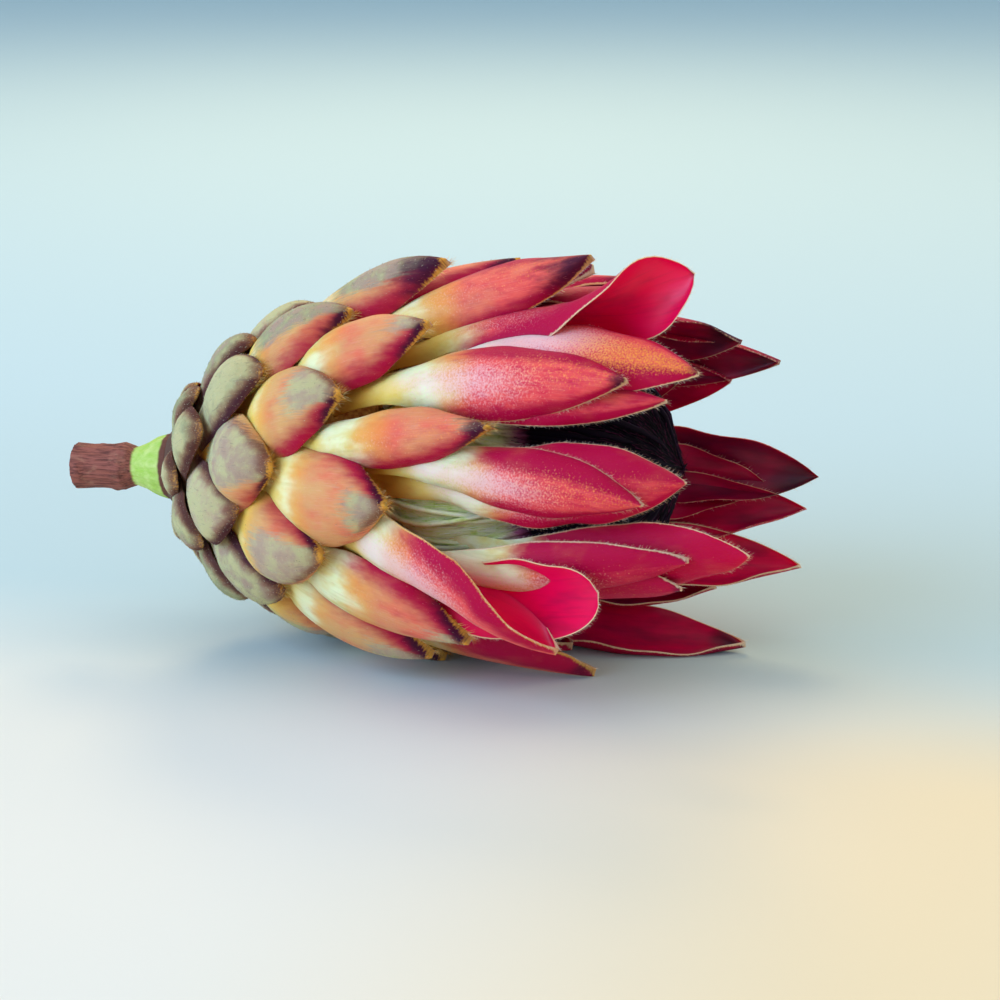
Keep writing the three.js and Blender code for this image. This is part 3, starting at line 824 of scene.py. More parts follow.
def broken_mask(tree, mask, noise, amount, low, high, most=1.0):
    """A mask moved up and down by noise times amount. It shows from low on, and most of all at high."""
    centred = add_node(tree, "ShaderNodeMath", {"Value": noise, "Value_001": 0.5}, operation="SUBTRACT")
    moved = add_node(
        tree,
        "ShaderNodeMath",
        {"Value": centred.outputs[0], "Value_001": amount, "Value_002": mask},
        operation="MULTIPLY_ADD",
    )
    return add_node(
        tree,
        "ShaderNodeMapRange",
        {"Value": moved.outputs[0], "From Min": low, "From Max": high, "To Max": most},
        interpolation_type="SMOOTHSTEP",
    ).outputs["Result"]


def painted(tree, ground, *coats):
    """Coats of colour over a ground. Each coat is a colour and how much of it shows."""
    for coat, amount in coats:
        ends = {"A_Color": ground, "B_Color": coat, "Factor_Float": amount}
        for key in ("A_Color", "B_Color"):
            if isinstance(ends[key], str):
                ends[key] = colour(ends[key])
        ground = add_node(tree, "ShaderNodeMix", ends, data_type="RGBA").outputs[MIXED_COLOUR]
    return ground


print("streaks on the skin:", STREAK_WIDTH_MM, "mm wide and", STREAK_LENGTH_MM, "mm long")

# %% Silky and felted bract skin
def bract_skin():
    """Silky blade that turns to felt, outside. It reads soft and satiny, with no wet highlight."""
    material, tree = new_material("silky_and_felted_bract_skin")
    told = told_masks(
        tree, "blush", "turning", "crimson", "felt", "dark", "gold", "glow", "painted_silk_sheen", "painted_gap_glow", "along",
        "edge_mm", "age", "tint",
    )
    streaks = blade_noise(tree, STREAK_WIDTH_MM, STREAK_LENGTH_MM)
    cloud = blade_noise(tree, CLOUD_MM, 2 * CLOUD_MM)
    fine_cloud = blade_noise(tree, 0.25 * CLOUD_MM, 0.8 * CLOUD_MM)
    grain = blade_noise(tree, FELT_GRAIN_MM, FELT_GRAIN_MM, 5.0)
    cracks = blade_noise(tree, FELT_CRACK_WIDTH_MM, FELT_CRACK_LENGTH_MM, 4.0)
    broad = blade_noise(tree, BROAD_PATCH_MM, BROAD_PATCH_MM)
    ribs = blade_noise(tree, RIB_WIDTH_MM, RIB_LENGTH_MM, 2.0)

    # Painted glow: the claw turns orange toward the root, in place of light shining through the shaded
    # tissue between the bracts.
    claw = {"Value": told["along"], "From Min": 0.36, "From Max": 0.16, "To Max": 0.75}
    painted_claw_glow = add_node(tree, "ShaderNodeMapRange", claw).outputs["Result"]
    cream = painted(
        tree,
        "#F2EEBA",
        ("#DCC866", broken_mask(tree, 0.0, cloud, 1.0, -0.1, 0.25, 0.85)),
        ("#B8B268", broken_mask(tree, 0.0, ribs, 1.0, 0.0, 0.3, 0.4)),
        ("#E2A648", broken_mask(tree, told["blush"], cloud, 1.2, 0.0, 0.6, 0.75)),
        ("#EE9A22", painted_claw_glow),
    )
    peach = painted(tree, "#DCA464", ("#DC6448", broken_mask(tree, 0.0, cloud, 1.0, -0.05, 0.3, 0.8)))
    coral = painted(tree, "#F25450", ("#E01E4A", broken_mask(tree, 0.0, fine_cloud, 1.0, -0.15, 0.3, 0.8)))
    flesh = painted(tree, peach, (coral, broken_mask(tree, told["age"], cloud, 0.5, 0.2, 0.75)))
    living = painted(
        tree,
        cream,
        (flesh, broken_mask(tree, told["blush"], cloud, 0.7, 0.15, 0.85)),
        ("#FFC0B0", broken_mask(tree, told["blush"], streaks, 2.4, 0.9, 1.6, 0.14)),
        ("#F2A040", broken_mask(tree, told["turning"], cloud, 0.8, 0.2, 1.1, 0.6)),
        ("#B4003C", broken_mask(tree, told["crimson"], fine_cloud, 0.5, 0.0, 0.7, 0.98)),
        # Painted sheen: pale pink streaks down the middle of the blade, where the silky hairs catch the
        # light.
        ("#FCD2CA", broken_mask(tree, told["painted_silk_sheen"], grain, 1.8, 0.3, 1.3, 0.7)),
        ("#FFA638", broken_mask(tree, told["glow"], grain, 2.6, 0.5, 1.5, 0.8)),
        # Painted glow: golden and orange where the blade lies deep under its neighbours, so that the shaded
        # gaps read bright.
        ("#FFCC4E", broken_mask(tree, told["painted_gap_glow"], cloud, 0.4, 0.0, 0.5, 0.8)),
        ("#F29A2E", broken_mask(tree, told["painted_gap_glow"], cloud, 0.4, 0.4, 1.0, 0.7)),
    )
    brown_edge = {"Value": told["edge_mm"], "From Min": 3.2, "From Max": 0.2}
    to_edge = add_node(tree, "ShaderNodeMapRange", brown_edge)
    felt = painted(
        tree,
        "#BEB480",
        ("#94946A", broken_mask(tree, told["tint"], broad, 2.4, 0.1, 1.1)),
        ("#B88C80", broken_mask(tree, told["blush"], broad, 2.6, 0.5, 1.3, 0.6)),
        ("#7E4A3A", broken_mask(tree, to_edge.outputs["Result"], broad, 0.9, 0.1, 0.85, 0.85)),
        ("#E0CBA0", broken_mask(tree, 0.0, grain, 1.0, 0.05, 0.3, 0.35)),
        ("#6A655A", broken_mask(tree, told["felt"], cracks, 3.0, 1.3, 1.7, 0.5)),
    )
    dusk = painted(tree, "#5E3C30", ("#3C142E", broken_mask(tree, told["age"], cloud, 0.1, 0.0, 0.2)))
    rim = painted(tree, "#EDA63E", ("#F8D2A4", broken_mask(tree, told["age"], cloud, 0.2, 0.5, 0.9)))
    skin = painted(
        tree,
        living,
        (felt, broken_mask(tree, told["felt"], cracks, 1.3, 0.25, 0.85)),
        (dusk, broken_mask(tree, told["dark"], fine_cloud, 0.8, 0.1, 0.9, 0.95)),
        (rim, broken_mask(tree, told["gold"], grain, 1.5, 0.25, 0.9, 0.85)),
    )

    rough = add_node(tree, "ShaderNodeMapRange", {"Value": told["felt"], "To Min": 0.48, "To Max": 0.92})
    fibres = add_node(tree, "ShaderNodeMath", {"Value": streaks, "Value_001": grain}, operation="ADD")
    bump = add_node(
        tree, "ShaderNodeBump", {"Strength": 0.6, "Distance": SKIN_BUMP_M, "Height": fibres.outputs[0]}
    )
    shader = add_node(
        tree,
        "ShaderNodeBsdfPrincipled",
        {
            "Base Color": skin,
            "Roughness": rough.outputs["Result"],
            "Normal": bump.outputs["Normal"],
            "Specular IOR Level": 0.1,
            "Subsurface Weight": 0.4,
            "Subsurface Radius": (1.0, 0.45, 0.3),
            "Subsurface Scale": 0.0025,
        },
    )
    add_node(tree, "ShaderNodeOutputMaterial", {"Surface": shader.outputs["BSDF"]})
    return material


outside_skin = bract_skin()
print(outside_skin.name, "has", len(outside_skin.node_tree.nodes), "nodes")

# %% [markdown]
# ## Bract skin, inside
#
# The inner face has no hairs. It is smooth, waxy epidermis, so it shines like a petal: deep crimson
# with fine parallel veins about 0.7 mm apart, paler toward the claw, darkened to wine red as painted
# shade on the blades that stand in shade, painted golden as a painted glow where it lies deep under
# its neighbours, and almost black at some tips. It could share the skin of the outside, but two
# materials keep each one short, and the faces of a blade already know on which side they lie.

# %% Smooth crimson lining
VEIN_SPACING_MM = 0.7
VEIN_LENGTH_MM = 12.0


def bract_lining():
    """Waxy epidermis. Its low roughness and thin coat give the eye a clear, soft highlight."""
    material, tree = new_material("smooth_crimson_bract_lining")
    told = told_masks(tree, "along", "dark", "edge_mm", "painted_gap_glow", "painted_shade")
    cloud = blade_noise(tree, CLOUD_MM, 2.5 * CLOUD_MM)
    veins = blade_noise(tree, VEIN_SPACING_MM, VEIN_LENGTH_MM, 2.0)
    pale_edge = {"Value": told["edge_mm"], "From Min": 0.22, "From Max": 0.08}
    rim = add_node(tree, "ShaderNodeMapRange", pale_edge)
    lining = painted(
        tree,
        "#E8C48C",
        ("#F07058", broken_mask(tree, told["along"], cloud, 0.3, 0.1, 0.42)),
        ("#F0004C", broken_mask(tree, told["along"], cloud, 0.25, 0.3, 0.6)),
        ("#B80040", broken_mask(tree, 0.0, cloud, 1.0, -0.05, 0.3, 0.6)),
        # Painted shade: dark wine red on the inner faces that stand in shade.
        ("#540028", broken_mask(tree, told["painted_shade"], cloud, 0.8, 0.0, 1.1, 0.95)),
        ("#7A0028", broken_mask(tree, 0.0, veins, 1.0, 0.0, 0.3, 0.22)),
        # Painted glow: golden where the inner face lies deep under its neighbours.
        ("#FFC048", broken_mask(tree, told["painted_gap_glow"], cloud, 0.4, 0.1, 0.7, 0.85)),
        ("#2E0C20", broken_mask(tree, told["dark"], cloud, 0.5, 0.25, 0.9, 0.92)),
        # The pale rim fades where the painted shade is deep.
        ("#F6CC9C", broken_mask(tree, rim.outputs["Result"], told["painted_shade"], -0.8, 0.45, 1.3)),
    )
    rough = add_node(tree, "ShaderNodeMapRange", {"Value": cloud, "To Min": 0.3, "To Max": 0.48})
    bump = add_node(tree, "ShaderNodeBump", {"Strength": 0.35, "Distance": SKIN_BUMP_M, "Height": veins})
    shader = add_node(
        tree,
        "ShaderNodeBsdfPrincipled",
        {
            "Base Color": lining,
            "Roughness": rough.outputs["Result"],
            "Normal": bump.outputs["Normal"],
            "Specular IOR Level": 0.3,
            "Coat Weight": 0.05,
            "Coat Roughness": 0.25,
            "Subsurface Weight": 0.3,
            "Subsurface Radius": (1.0, 0.2, 0.15),
            "Subsurface Scale": 0.002,
        },
    )
    add_node(tree, "ShaderNodeOutputMaterial", {"Surface": shader.outputs["BSDF"]})
    return material


inside_skin = bract_lining()
print(inside_skin.name, "has", len(inside_skin.node_tree.nodes), "nodes")


# %% Grow the four groups of bracts
def standing(numbers):
    return [number for number in numbers if number not in FALLEN_BRACTS]


def bract_group(name, numbers, rows, columns, shape):
    mesh = bract_mesh(name, standing(numbers), rows, columns, shape)
    mesh.materials.append(outside_skin)
    mesh.materials.append(inside_skin)
    return finished_piece(name, mesh)


basal_scales = bract_group("basal_scales", BASAL_NUMBERS, 20, 18, 1.5)
middle_bracts = bract_group("middle_bracts", MIDDLE_NUMBERS, 34, 20, 2.2)
long_bracts = bract_group("long_bracts", LONG_NUMBERS, 48, 22, 4.0)
inmost_bracts = bract_group("inmost_bracts", INMOST_NUMBERS, 48, 20, 4.0)

# %% [markdown]
# ## Receptacle and stem
#
# Both are bodies of revolution that time has made uneven. A turned profile gives the form, and a
# relief over it gives the fibres and the scars where scales have dropped. The skin runs from pole to
# pole, so the body is closed at both ends.

# %% A turned skin with relief
def turned_skin(name, profile, sides, step_mm, relief_mm):
    """A closed mesh turned round the head's axis from pairs of distance and radius."""
    x0, x1 = profile[0][0], profile[-1][0]
    x = np.linspace(x0, x1, max(2, round((x1 - x0) / step_mm)) + 1)
    radius = along(profile, x)
    shares = np.array([0.25, 0.5, 0.75])
    x_all = np.concatenate([np.full(3, x0), x, np.full(3, x1)])
    r_all = np.concatenate([shares * radius[0], radius, shares[::-1] * radius[-1]])
    angle = np.arange(sides) * 2 * np.pi / sides
    height = relief_mm(x_all[:, None], angle[None, :]) * (r_all[:, None] / np.maximum(r_all.max(), 1e-6))
    r = r_all[:, None] + height
    ring = np.stack([x_all[:, None] + 0 * r, -r * np.cos(angle), r * np.sin(angle)], axis=-1).reshape(-1, 3)
    points = np.concatenate([ring, [[x0, 0, 0], [x1, 0, 0]]])
    rows = len(x_all)
    faces = []
    for i in range(rows - 1):
        for j in range(sides):
            k = (j + 1) % sides
            faces.append((i * sides + j, i * sides + k, (i + 1) * sides + k, (i + 1) * sides + j))
    first, last = rows * sides, rows * sides + 1
    caps = [(first, (j + 1) % sides, j) for j in range(sides)]
    end = (rows - 1) * sides
    caps += [(last, end + j, end + (j + 1) % sides) for j in range(sides)]
    mesh = bpy.data.meshes.new(name)
    mesh.from_pydata(points.tolist(), [], faces + caps)
    mesh.polygons.foreach_set("use_smooth", [True] * len(mesh.polygons))
    keep_values(mesh, {"axis_mm": points[:, 0], "radius_mm": np.hypot(points[:, 1], points[:, 2])})
    return mesh


SCAR_COUNT = 5
FIRST_SCAR_X = -17
SCAR_SPACING_MM = 2.9
SCAR_HEIGHT_MM = 0.55
SCAR_HALF_LENGTH_MM = 0.8
SCAR_HALF_TURN = 0.45


def fibres_and_scars(x, angle):
    """Long fibres round the stem, and low bumps where leaves stood, in mm."""
    fibre = 0.09 * np.sin(13 * angle + 0.5 * x) + 0.06 * np.sin(29 * angle - 0.35 * x)
    bumps = 0
    for scar in range(SCAR_COUNT):
        turn = math.radians(GOLDEN_ANGLE * scar)
        away = np.angle(np.exp(1j * (angle - turn)))
        lengthwise = (x - FIRST_SCAR_X - SCAR_SPACING_MM * scar) / SCAR_HALF_LENGTH_MM
        bumps = bumps + SCAR_HEIGHT_MM * np.exp(-(lengthwise**2) - (away / SCAR_HALF_TURN) ** 2)
    return fibre + bumps


def rough_core(x, angle):
    return 0.15 * np.sin(21 * angle + x) + 0.1 * np.sin(9 * angle - 2 * x)


STEM_PROFILE = [
    (-18.2, 3.9), (-15, 3.7), (-11.5, 3.75), (-9.6, 4.0), (-7.2, 3.2), (-5.2, 3.9),
    (-3.4, 4.9), (-1.6, 5.4), (-0.3, 5.6),
]
CORE_PROFILE = [(0, 6.5), (3, 9.5), (9, 14.5), (20, 18.5), (26, 20.5), (34, 21), (40, 20.5), (41, 14.9)]
SKIN_SIDES = 96
STEM_STEP_MM = 0.3
CORE_STEP_MM = 0.8
stem_mesh = turned_skin("woody_stem", STEM_PROFILE, SKIN_SIDES, STEM_STEP_MM, fibres_and_scars)
core_mesh = turned_skin("receptacle", CORE_PROFILE, SKIN_SIDES, CORE_STEP_MM, rough_core)
print("stem", triangles_of(stem_mesh), "and receptacle", triangles_of(core_mesh), "triangles")

# %% [markdown]
# ### Bark, green neck and receptacle
#
# The stem of a protea is young wood: thin fibrous bark, reddish where the sun reached it, splitting
# lengthwise. Under the head the neck is still green. One material covers both, because one turns
# into the other with no seam. The receptacle is painted bright golden where it shows between the
# bracts, a painted glow of light through the gaps, and turns brown at its foot, round the neck.

# %% Fibrous bark with a green neck
# Each zone along the axis runs between two distances, in mm.
CUT_FACE_X = (-18.12, -18.19)
GREEN_NECK_X = (-8.0, -6.6)
BROWN_COLLAR_X = (-2.2, -0.9)
BROWN_FOOT_X = (12, 5)
CUT_FACE_RADIUS_MM = (3.6, 3.3)
RING_WAVE = 9.0
BARK_FIBRE_MM = (4.0, 0.35, 0.35)
BARK_PATCH_MM = (3.0, 2.0, 2.0)
CORK_GRAIN_MM = (0.8, 0.8, 0.8)
WOODY_BUMP_M = 0.0003


def object_noise(tree, scale_mm, detail=4.0):
    """Noise on the object's own coordinates, stretched along X, with its sizes in mm."""
    place = add_node(tree, "ShaderNodeTexCoord").outputs["Object"]
    scale = [1000 / size for size in scale_mm]
    scaled = add_node(tree, "ShaderNodeVectorMath", {0: place, 1: scale}, operation="MULTIPLY")
    return add_node(
        tree,
        "ShaderNodeTexNoise",
        {"Vector": scaled.outputs["Vector"], "Scale": 1.0, "Detail": detail, "Roughness": 0.6},
    ).outputs["Fac"]


def axis_zone(tree, start, end):
    """From 0 to 1 along the head's axis, between two distances in mm."""
    return add_node(
        tree,
        "ShaderNodeMapRange",
        {"Value": told_masks(tree, "axis_mm")["axis_mm"], "From Min": start, "From Max": end},
        interpolation_type="SMOOTHSTEP",
    ).outputs["Result"]


def bark_material():
    """Fibrous bark. Dry and matt, its fibres catch the light as short bright lines."""
    material, tree = new_material("fibrous_bark_and_green_neck")
    fibres = object_noise(tree, BARK_FIBRE_MM)
    patches = object_noise(tree, BARK_PATCH_MM)
    from_axis = told_masks(tree, "radius_mm")["radius_mm"]
    ring_wave = add_node(tree, "ShaderNodeMath", {0: from_axis, 1: RING_WAVE}, operation="MULTIPLY")
    rings = add_node(tree, "ShaderNodeMath", {0: ring_wave.outputs[0]}, operation="SINE")
    outer, inner = CUT_FACE_RADIUS_MM
    inside = add_node(tree, "ShaderNodeMapRange", {"Value": from_axis, "From Min": outer, "From Max": inner})
    cut = add_node(
        tree,
        "ShaderNodeMath",
        {0: axis_zone(tree, *CUT_FACE_X), 1: inside.outputs["Result"]},
        operation="MULTIPLY",
    )
    green = painted(tree, "#A6C94C", ("#D2DE84", broken_mask(tree, 0.0, patches, 1.0, -0.2, 0.3)))
    wood = painted(tree, "#D8BC8C", ("#B08A58", rings.outputs[0]))
    into_green = axis_zone(tree, *GREEN_NECK_X)
    collar = axis_zone(tree, *BROWN_COLLAR_X)
    skin = painted(
        tree,
        "#9A5240",
        ("#5A2A20", broken_mask(tree, 0.0, fibres, 1.0, -0.15, 0.2)),
        ("#C08A68", broken_mask(tree, 0.0, patches, 1.0, 0.05, 0.35, 0.55)),
        (green, broken_mask(tree, into_green, patches, 0.4, 0.2, 0.8)),
        ("#6A3A28", broken_mask(tree, collar, patches, 0.4, 0.2, 0.8)),
        (wood, cut.outputs[0]),
    )
    bump = add_node(tree, "ShaderNodeBump", {"Strength": 0.8, "Distance": WOODY_BUMP_M, "Height": fibres})
    rough = add_node(tree, "ShaderNodeMapRange", {"Value": fibres, "To Min": 0.6, "To Max": 0.9})
    shader = add_node(
        tree,
        "ShaderNodeBsdfPrincipled",
        {
            "Base Color": skin,
            "Roughness": rough.outputs["Result"],
            "Normal": bump.outputs["Normal"],
            "IOR": 1.45,
        },
    )
    add_node(tree, "ShaderNodeOutputMaterial", {"Surface": shader.outputs["BSDF"]})
    return material


def receptacle_material():
    """Corky tissue between the bracts. Matt and painted bright golden as a painted glow in the gaps, and
    brown at its foot.
    """
    material, tree = new_material("corky_ochre_receptacle")
    cork = object_noise(tree, CORK_GRAIN_MM)
    tone = painted(
        tree,
        # Painted glow: a bright golden tone, so that the gaps between the bracts read lit.
        "#F4BC54",
        ("#C8782C", broken_mask(tree, 0.0, cork, 1.0, -0.2, 0.2)),
        ("#5A3A2A", axis_zone(tree, *BROWN_FOOT_X)),
    )
    bump = add_node(tree, "ShaderNodeBump", {"Strength": 0.7, "Distance": WOODY_BUMP_M, "Height": cork})
    rough = add_node(tree, "ShaderNodeMapRange", {"Value": cork, "To Min": 0.75, "To Max": 0.95})
    shader = add_node(
        tree,
        "ShaderNodeBsdfPrincipled",
        {"Base Color": tone, "Roughness": rough.outputs["Result"], "Normal": bump.outputs["Normal"]},
    )
    add_node(tree, "ShaderNodeOutputMaterial", {"Surface": shader.outputs["BSDF"]})
    return material


stem_mesh.materials.append(bark_material())
core_mesh.materials.append(receptacle_material())
woody_stem = finished_piece("woody_stem", stem_mesh)
receptacle = finished_piece("receptacle", core_mesh)

# %% [markdown]
# ## Florets
#
# Inside the bracts stand some two hundred florets, each a slim tube: pale green at its foot, purple
# and hairy at its tip, laid forward over its neighbours. They could be placed one by one in code, but
# they repeat and follow a rule, so Geometry Nodes make them: one straight curve for each number,
# turned by the golden angle, bent to the outline of the mass, given a tube that thickens to a small
# club, and closed at both ends.

# %% Tools for a Geometry Nodes tree
FLORET_BODY = [
    (41.3, 14), (45, 20.5), (50, 22.8), (58, 22.8), (64, 20.6), (72, 18.8), (78, 16), (82, 12.5),
    (85, 8), (86.5, 3),
]
SOCKET_KINDS = {
    int: "NodeSocketInt",
    float: "NodeSocketFloat",
    bpy.types.Material: "NodeSocketMaterial",
}


def new_tree(name, inputs):
    """A tree with a geometry input and output, and one named input for each default value."""
    tree = bpy.data.node_groups.new(name, "GeometryNodeTree")
    tree.interface.new_socket(name="Geometry", in_out="INPUT", socket_type="NodeSocketGeometry")
    tree.interface.new_socket(name="Geometry", in_out="OUTPUT", socket_type="NodeSocketGeometry")
    for key, value in inputs.items():
        kind = SOCKET_KINDS[type(value)]
        made = tree.interface.new_socket(name=key, in_out="INPUT", socket_type=kind)
        if kind != "NodeSocketMaterial":
            made.default_value = value
    entry = tree.nodes.new("NodeGroupInput")
    exit_node = tree.nodes.new("NodeGroupOutput")
    return tree, entry.outputs, exit_node.inputs["Geometry"]


def grown_mesh(name, tree, host, values):
    """Runs a tree on a host mesh and keeps what it grows as a plain mesh."""
    holder = bpy.data.objects.new(name, host)
    bpy.context.scene.collection.objects.link(holder)
    modifier = holder.modifiers.new(name, "NODES")
    modifier.node_group = tree
    for item in tree.interface.items_tree:
        if item.in_out == "INPUT" and item.name in values:
            modifier[item.identifier] = values[item.name]
    graph = bpy.context.evaluated_depsgraph_get()
    mesh = bpy.data.meshes.new_from_object(holder.evaluated_get(graph))
    holder.modifiers.remove(modifier)
    bpy.data.objects.remove(holder)
    return mesh


def set_curve(node, points):
    """Puts a float curve through pairs of values from 0 to 1."""
    curve = node.mapping.curves[0]
    while len(curve.points) < len(points):
        curve.points.new(0.5, 0.5)
    for point, (x, y) in zip(curve.points, points):
        point.location = (x, y)
    node.mapping.update()


print("floret mass from", FLORET_BODY[0][0], "to", FLORET_BODY[-1][0], "mm along the axis")

# %% The tree that lays the florets
FLORET_COUNT = 240
FLORET_ROOT_MM = 41.6
FLORET_TIPS_FROM_MM = 56.0
FLORET_TIPS_TO_MM = 88.0
FLORET_TUBE_MM = 0.62
FLORET_POINTS = 18
FLORET_SIDES = 6
PROFILE_TO_MM = 90.0
PROFILE_SPAN_MM = PROFILE_TO_MM - FLORET_ROOT_MM
LARGEST_RADIUS_MM = 23.0
SUNK_MM = (-1.6, 0.2)
WOBBLE = 0.05
WOBBLE_TURNS = 5.0
CLUB = [(0, 0.75), (0.6, 0.7), (0.85, 1.0), (1, 0.12)]


def floret_tree():
    """A tube for every number, on a spiral, bent to the outline of the floret mass."""
    tree, given, result = new_tree(
        "florets_on_a_spiral",
        {"Count": FLORET_COUNT, "Tube Radius": FLORET_TUBE_MM, "Seed": 4, "Skin": outside_skin},
    )
    line = add_node(tree, "GeometryNodeCurvePrimitiveLine", {"End": (1.0, 0.0, 0.0)})
    rows = add_node(tree, "GeometryNodeResampleCurve", {"Curve": line.outputs[0], "Count": FLORET_POINTS})
    points = add_node(tree, "GeometryNodePoints", {"Count": given["Count"]})
    placed = add_node(
        tree, "GeometryNodeInstanceOnPoints", {"Points": points.outputs[0], "Instance": rows.outputs[0]}
    )
    index = add_node(tree, "GeometryNodeInputIndex").outputs[0]
    numbered = add_node(
        tree,
        "GeometryNodeStoreNamedAttribute",
        {"Geometry": placed.outputs[0], "Name": "floret", "Value": index},
        data_type="FLOAT",
        domain="INSTANCE",
    )
    lines = add_node(tree, "GeometryNodeRealizeInstances", {"Geometry": numbered.outputs[0]}).outputs[0]
    number = add_node(tree, "GeometryNodeInputNamedAttribute", {"Name": "floret"}).outputs[0]
    place = add_node(tree, "GeometryNodeInputPosition").outputs[0]
    t = add_node(tree, "ShaderNodeSeparateXYZ", {"Vector": place}).outputs["X"]
    kept = add_node(
        tree,
        "GeometryNodeStoreNamedAttribute",
        {"Geometry": lines, "Name": "along", "Value": t},
        data_type="FLOAT",
        domain="POINT",
    )
    t = add_node(tree, "GeometryNodeInputNamedAttribute", {"Name": "along"}).outputs[0]
    whole = add_node(tree, "FunctionNodeFloatToInt", {0: number}).outputs[0]

    first_draw = add_node(tree, "ShaderNodeMath", {0: given["Seed"], 1: 0.0}, operation="ADD").outputs[0]
    second_draw = add_node(tree, "ShaderNodeMath", {0: given["Seed"], 1: 1.0}, operation="ADD").outputs[0]
    any_share = {"Min_001": 0.0, "Max_001": 1.0, "ID": whole, "Seed": first_draw}
    drawn_share = add_node(tree, "FunctionNodeRandomValue", any_share).outputs[1]
    any_depth = {"Min_001": SUNK_MM[0], "Max_001": SUNK_MM[1], "ID": whole, "Seed": second_draw}
    drawn_depth = add_node(tree, "FunctionNodeRandomValue", any_depth).outputs[1]

    tip = add_node(tree, "ShaderNodeMath", {0: drawn_share}, operation="SQRT").outputs[0]
    reach = {0: tip, 1: FLORET_TIPS_TO_MM - FLORET_TIPS_FROM_MM, 2: FLORET_TIPS_FROM_MM}
    tip_x = add_node(tree, "ShaderNodeMath", reach, operation="MULTIPLY_ADD").outputs[0]
    past_root = {0: tip_x, 1: FLORET_ROOT_MM}
    stretch = add_node(tree, "ShaderNodeMath", past_root, operation="SUBTRACT").outputs[0]
    stretched = {0: stretch, 1: t, 2: FLORET_ROOT_MM}
    x = add_node(tree, "ShaderNodeMath", stretched, operation="MULTIPLY_ADD").outputs[0]
    from_root = add_node(tree, "ShaderNodeMath", {0: x, 1: FLORET_ROOT_MM}, operation="SUBTRACT").outputs[0]
    of_span = {0: from_root, 1: PROFILE_SPAN_MM}
    share = add_node(tree, "ShaderNodeMath", of_span, operation="DIVIDE").outputs[0]
    outline = add_node(tree, "ShaderNodeFloatCurve", {"Value": share})
    profile = []
    for x_mm, radius_mm in FLORET_BODY[1:]:
        profile.append(((x_mm - FLORET_ROOT_MM) / PROFILE_SPAN_MM, radius_mm / LARGEST_RADIUS_MM))
    set_curve(outline, profile)
    of_largest = {0: outline.outputs[0], 1: LARGEST_RADIUS_MM}
    radius = add_node(tree, "ShaderNodeMath", of_largest, operation="MULTIPLY").outputs[0]
    sunk = add_node(tree, "ShaderNodeMath", {0: radius, 1: drawn_depth}, operation="ADD").outputs[0]

    by_golden_angle = {0: number, 1: math.radians(GOLDEN_ANGLE)}
    turn = add_node(tree, "ShaderNodeMath", by_golden_angle, operation="MULTIPLY").outputs[0]
    wave_parts = {0: t, 1: WOBBLE_TURNS, 2: number}
    wave = add_node(tree, "ShaderNodeMath", wave_parts, operation="MULTIPLY_ADD").outputs[0]
    swing = add_node(tree, "ShaderNodeMath", {0: wave}, operation="SINE").outputs[0]
    wobble = add_node(tree, "ShaderNodeMath", {0: swing, 1: WOBBLE}, operation="MULTIPLY").outputs[0]
    azimuth = add_node(tree, "ShaderNodeMath", {0: turn, 1: wobble}, operation="ADD").outputs[0]
    cosine = add_node(tree, "ShaderNodeMath", {0: azimuth}, operation="COSINE").outputs[0]
    sine = add_node(tree, "ShaderNodeMath", {0: azimuth}, operation="SINE").outputs[0]
    away = add_node(tree, "ShaderNodeMath", {0: cosine, 1: sunk}, operation="MULTIPLY").outputs[0]
    y = add_node(tree, "ShaderNodeMath", {0: away, 1: -1.0}, operation="MULTIPLY").outputs[0]
    z = add_node(tree, "ShaderNodeMath", {0: sine, 1: sunk}, operation="MULTIPLY").outputs[0]
    spot = add_node(tree, "ShaderNodeCombineXYZ", {"X": x, "Y": y, "Z": z}).outputs[0]
    bent = add_node(tree, "GeometryNodeSetPosition", {"Geometry": kept.outputs[0], "Position": spot})
    club = add_node(tree, "ShaderNodeFloatCurve", {"Value": t})
    set_curve(club, CLUB)
    ring_size = {"Resolution": FLORET_SIDES, "Radius": given["Tube Radius"]}
    ring = add_node(tree, "GeometryNodeCurvePrimitiveCircle", ring_size)
    tubes = add_node(
        tree,
        "GeometryNodeCurveToMesh",
        {
            "Curve": bent.outputs[0],
            "Profile Curve": ring.outputs[0],
            "Scale": club.outputs[0],
            "Fill Caps": True,
        },
    )
    where = add_node(tree, "GeometryNodeInputPosition").outputs[0]
    x_now = add_node(tree, "ShaderNodeSeparateXYZ", {"Vector": where}).outputs["X"]
    told = add_node(
        tree,
        "GeometryNodeStoreNamedAttribute",
        {"Geometry": tubes.outputs[0], "Name": "axis_mm", "Value": x_now},
        data_type="FLOAT",
        domain="POINT",
    )
    smoothed = add_node(tree, "GeometryNodeSetShadeSmooth", {"Geometry": told.outputs[0]})
    dressed = add_node(
        tree, "GeometryNodeSetMaterial", {"Geometry": smoothed.outputs[0], "Material": given["Skin"]}
    )
    real = add_node(tree, "GeometryNodeRealizeInstances", {"Geometry": dressed.outputs[0]})
    tree.links.new(real.outputs[0], result)
    return tree


floret_growth = floret_tree()
print(floret_growth.name, "has", len(floret_growth.nodes), "nodes")

# %% The skin of the florets
# The zones run between two distances along the axis, in mm.
VELVETY_X = (54, 64)
MAUVE_X = (59, 68)
PURPLE_BLACK_X = (62, 70)
FLORET_PATCH_MM = (2.5, 0.8, 0.8)
FLORET_BUMP_M = 0.0002


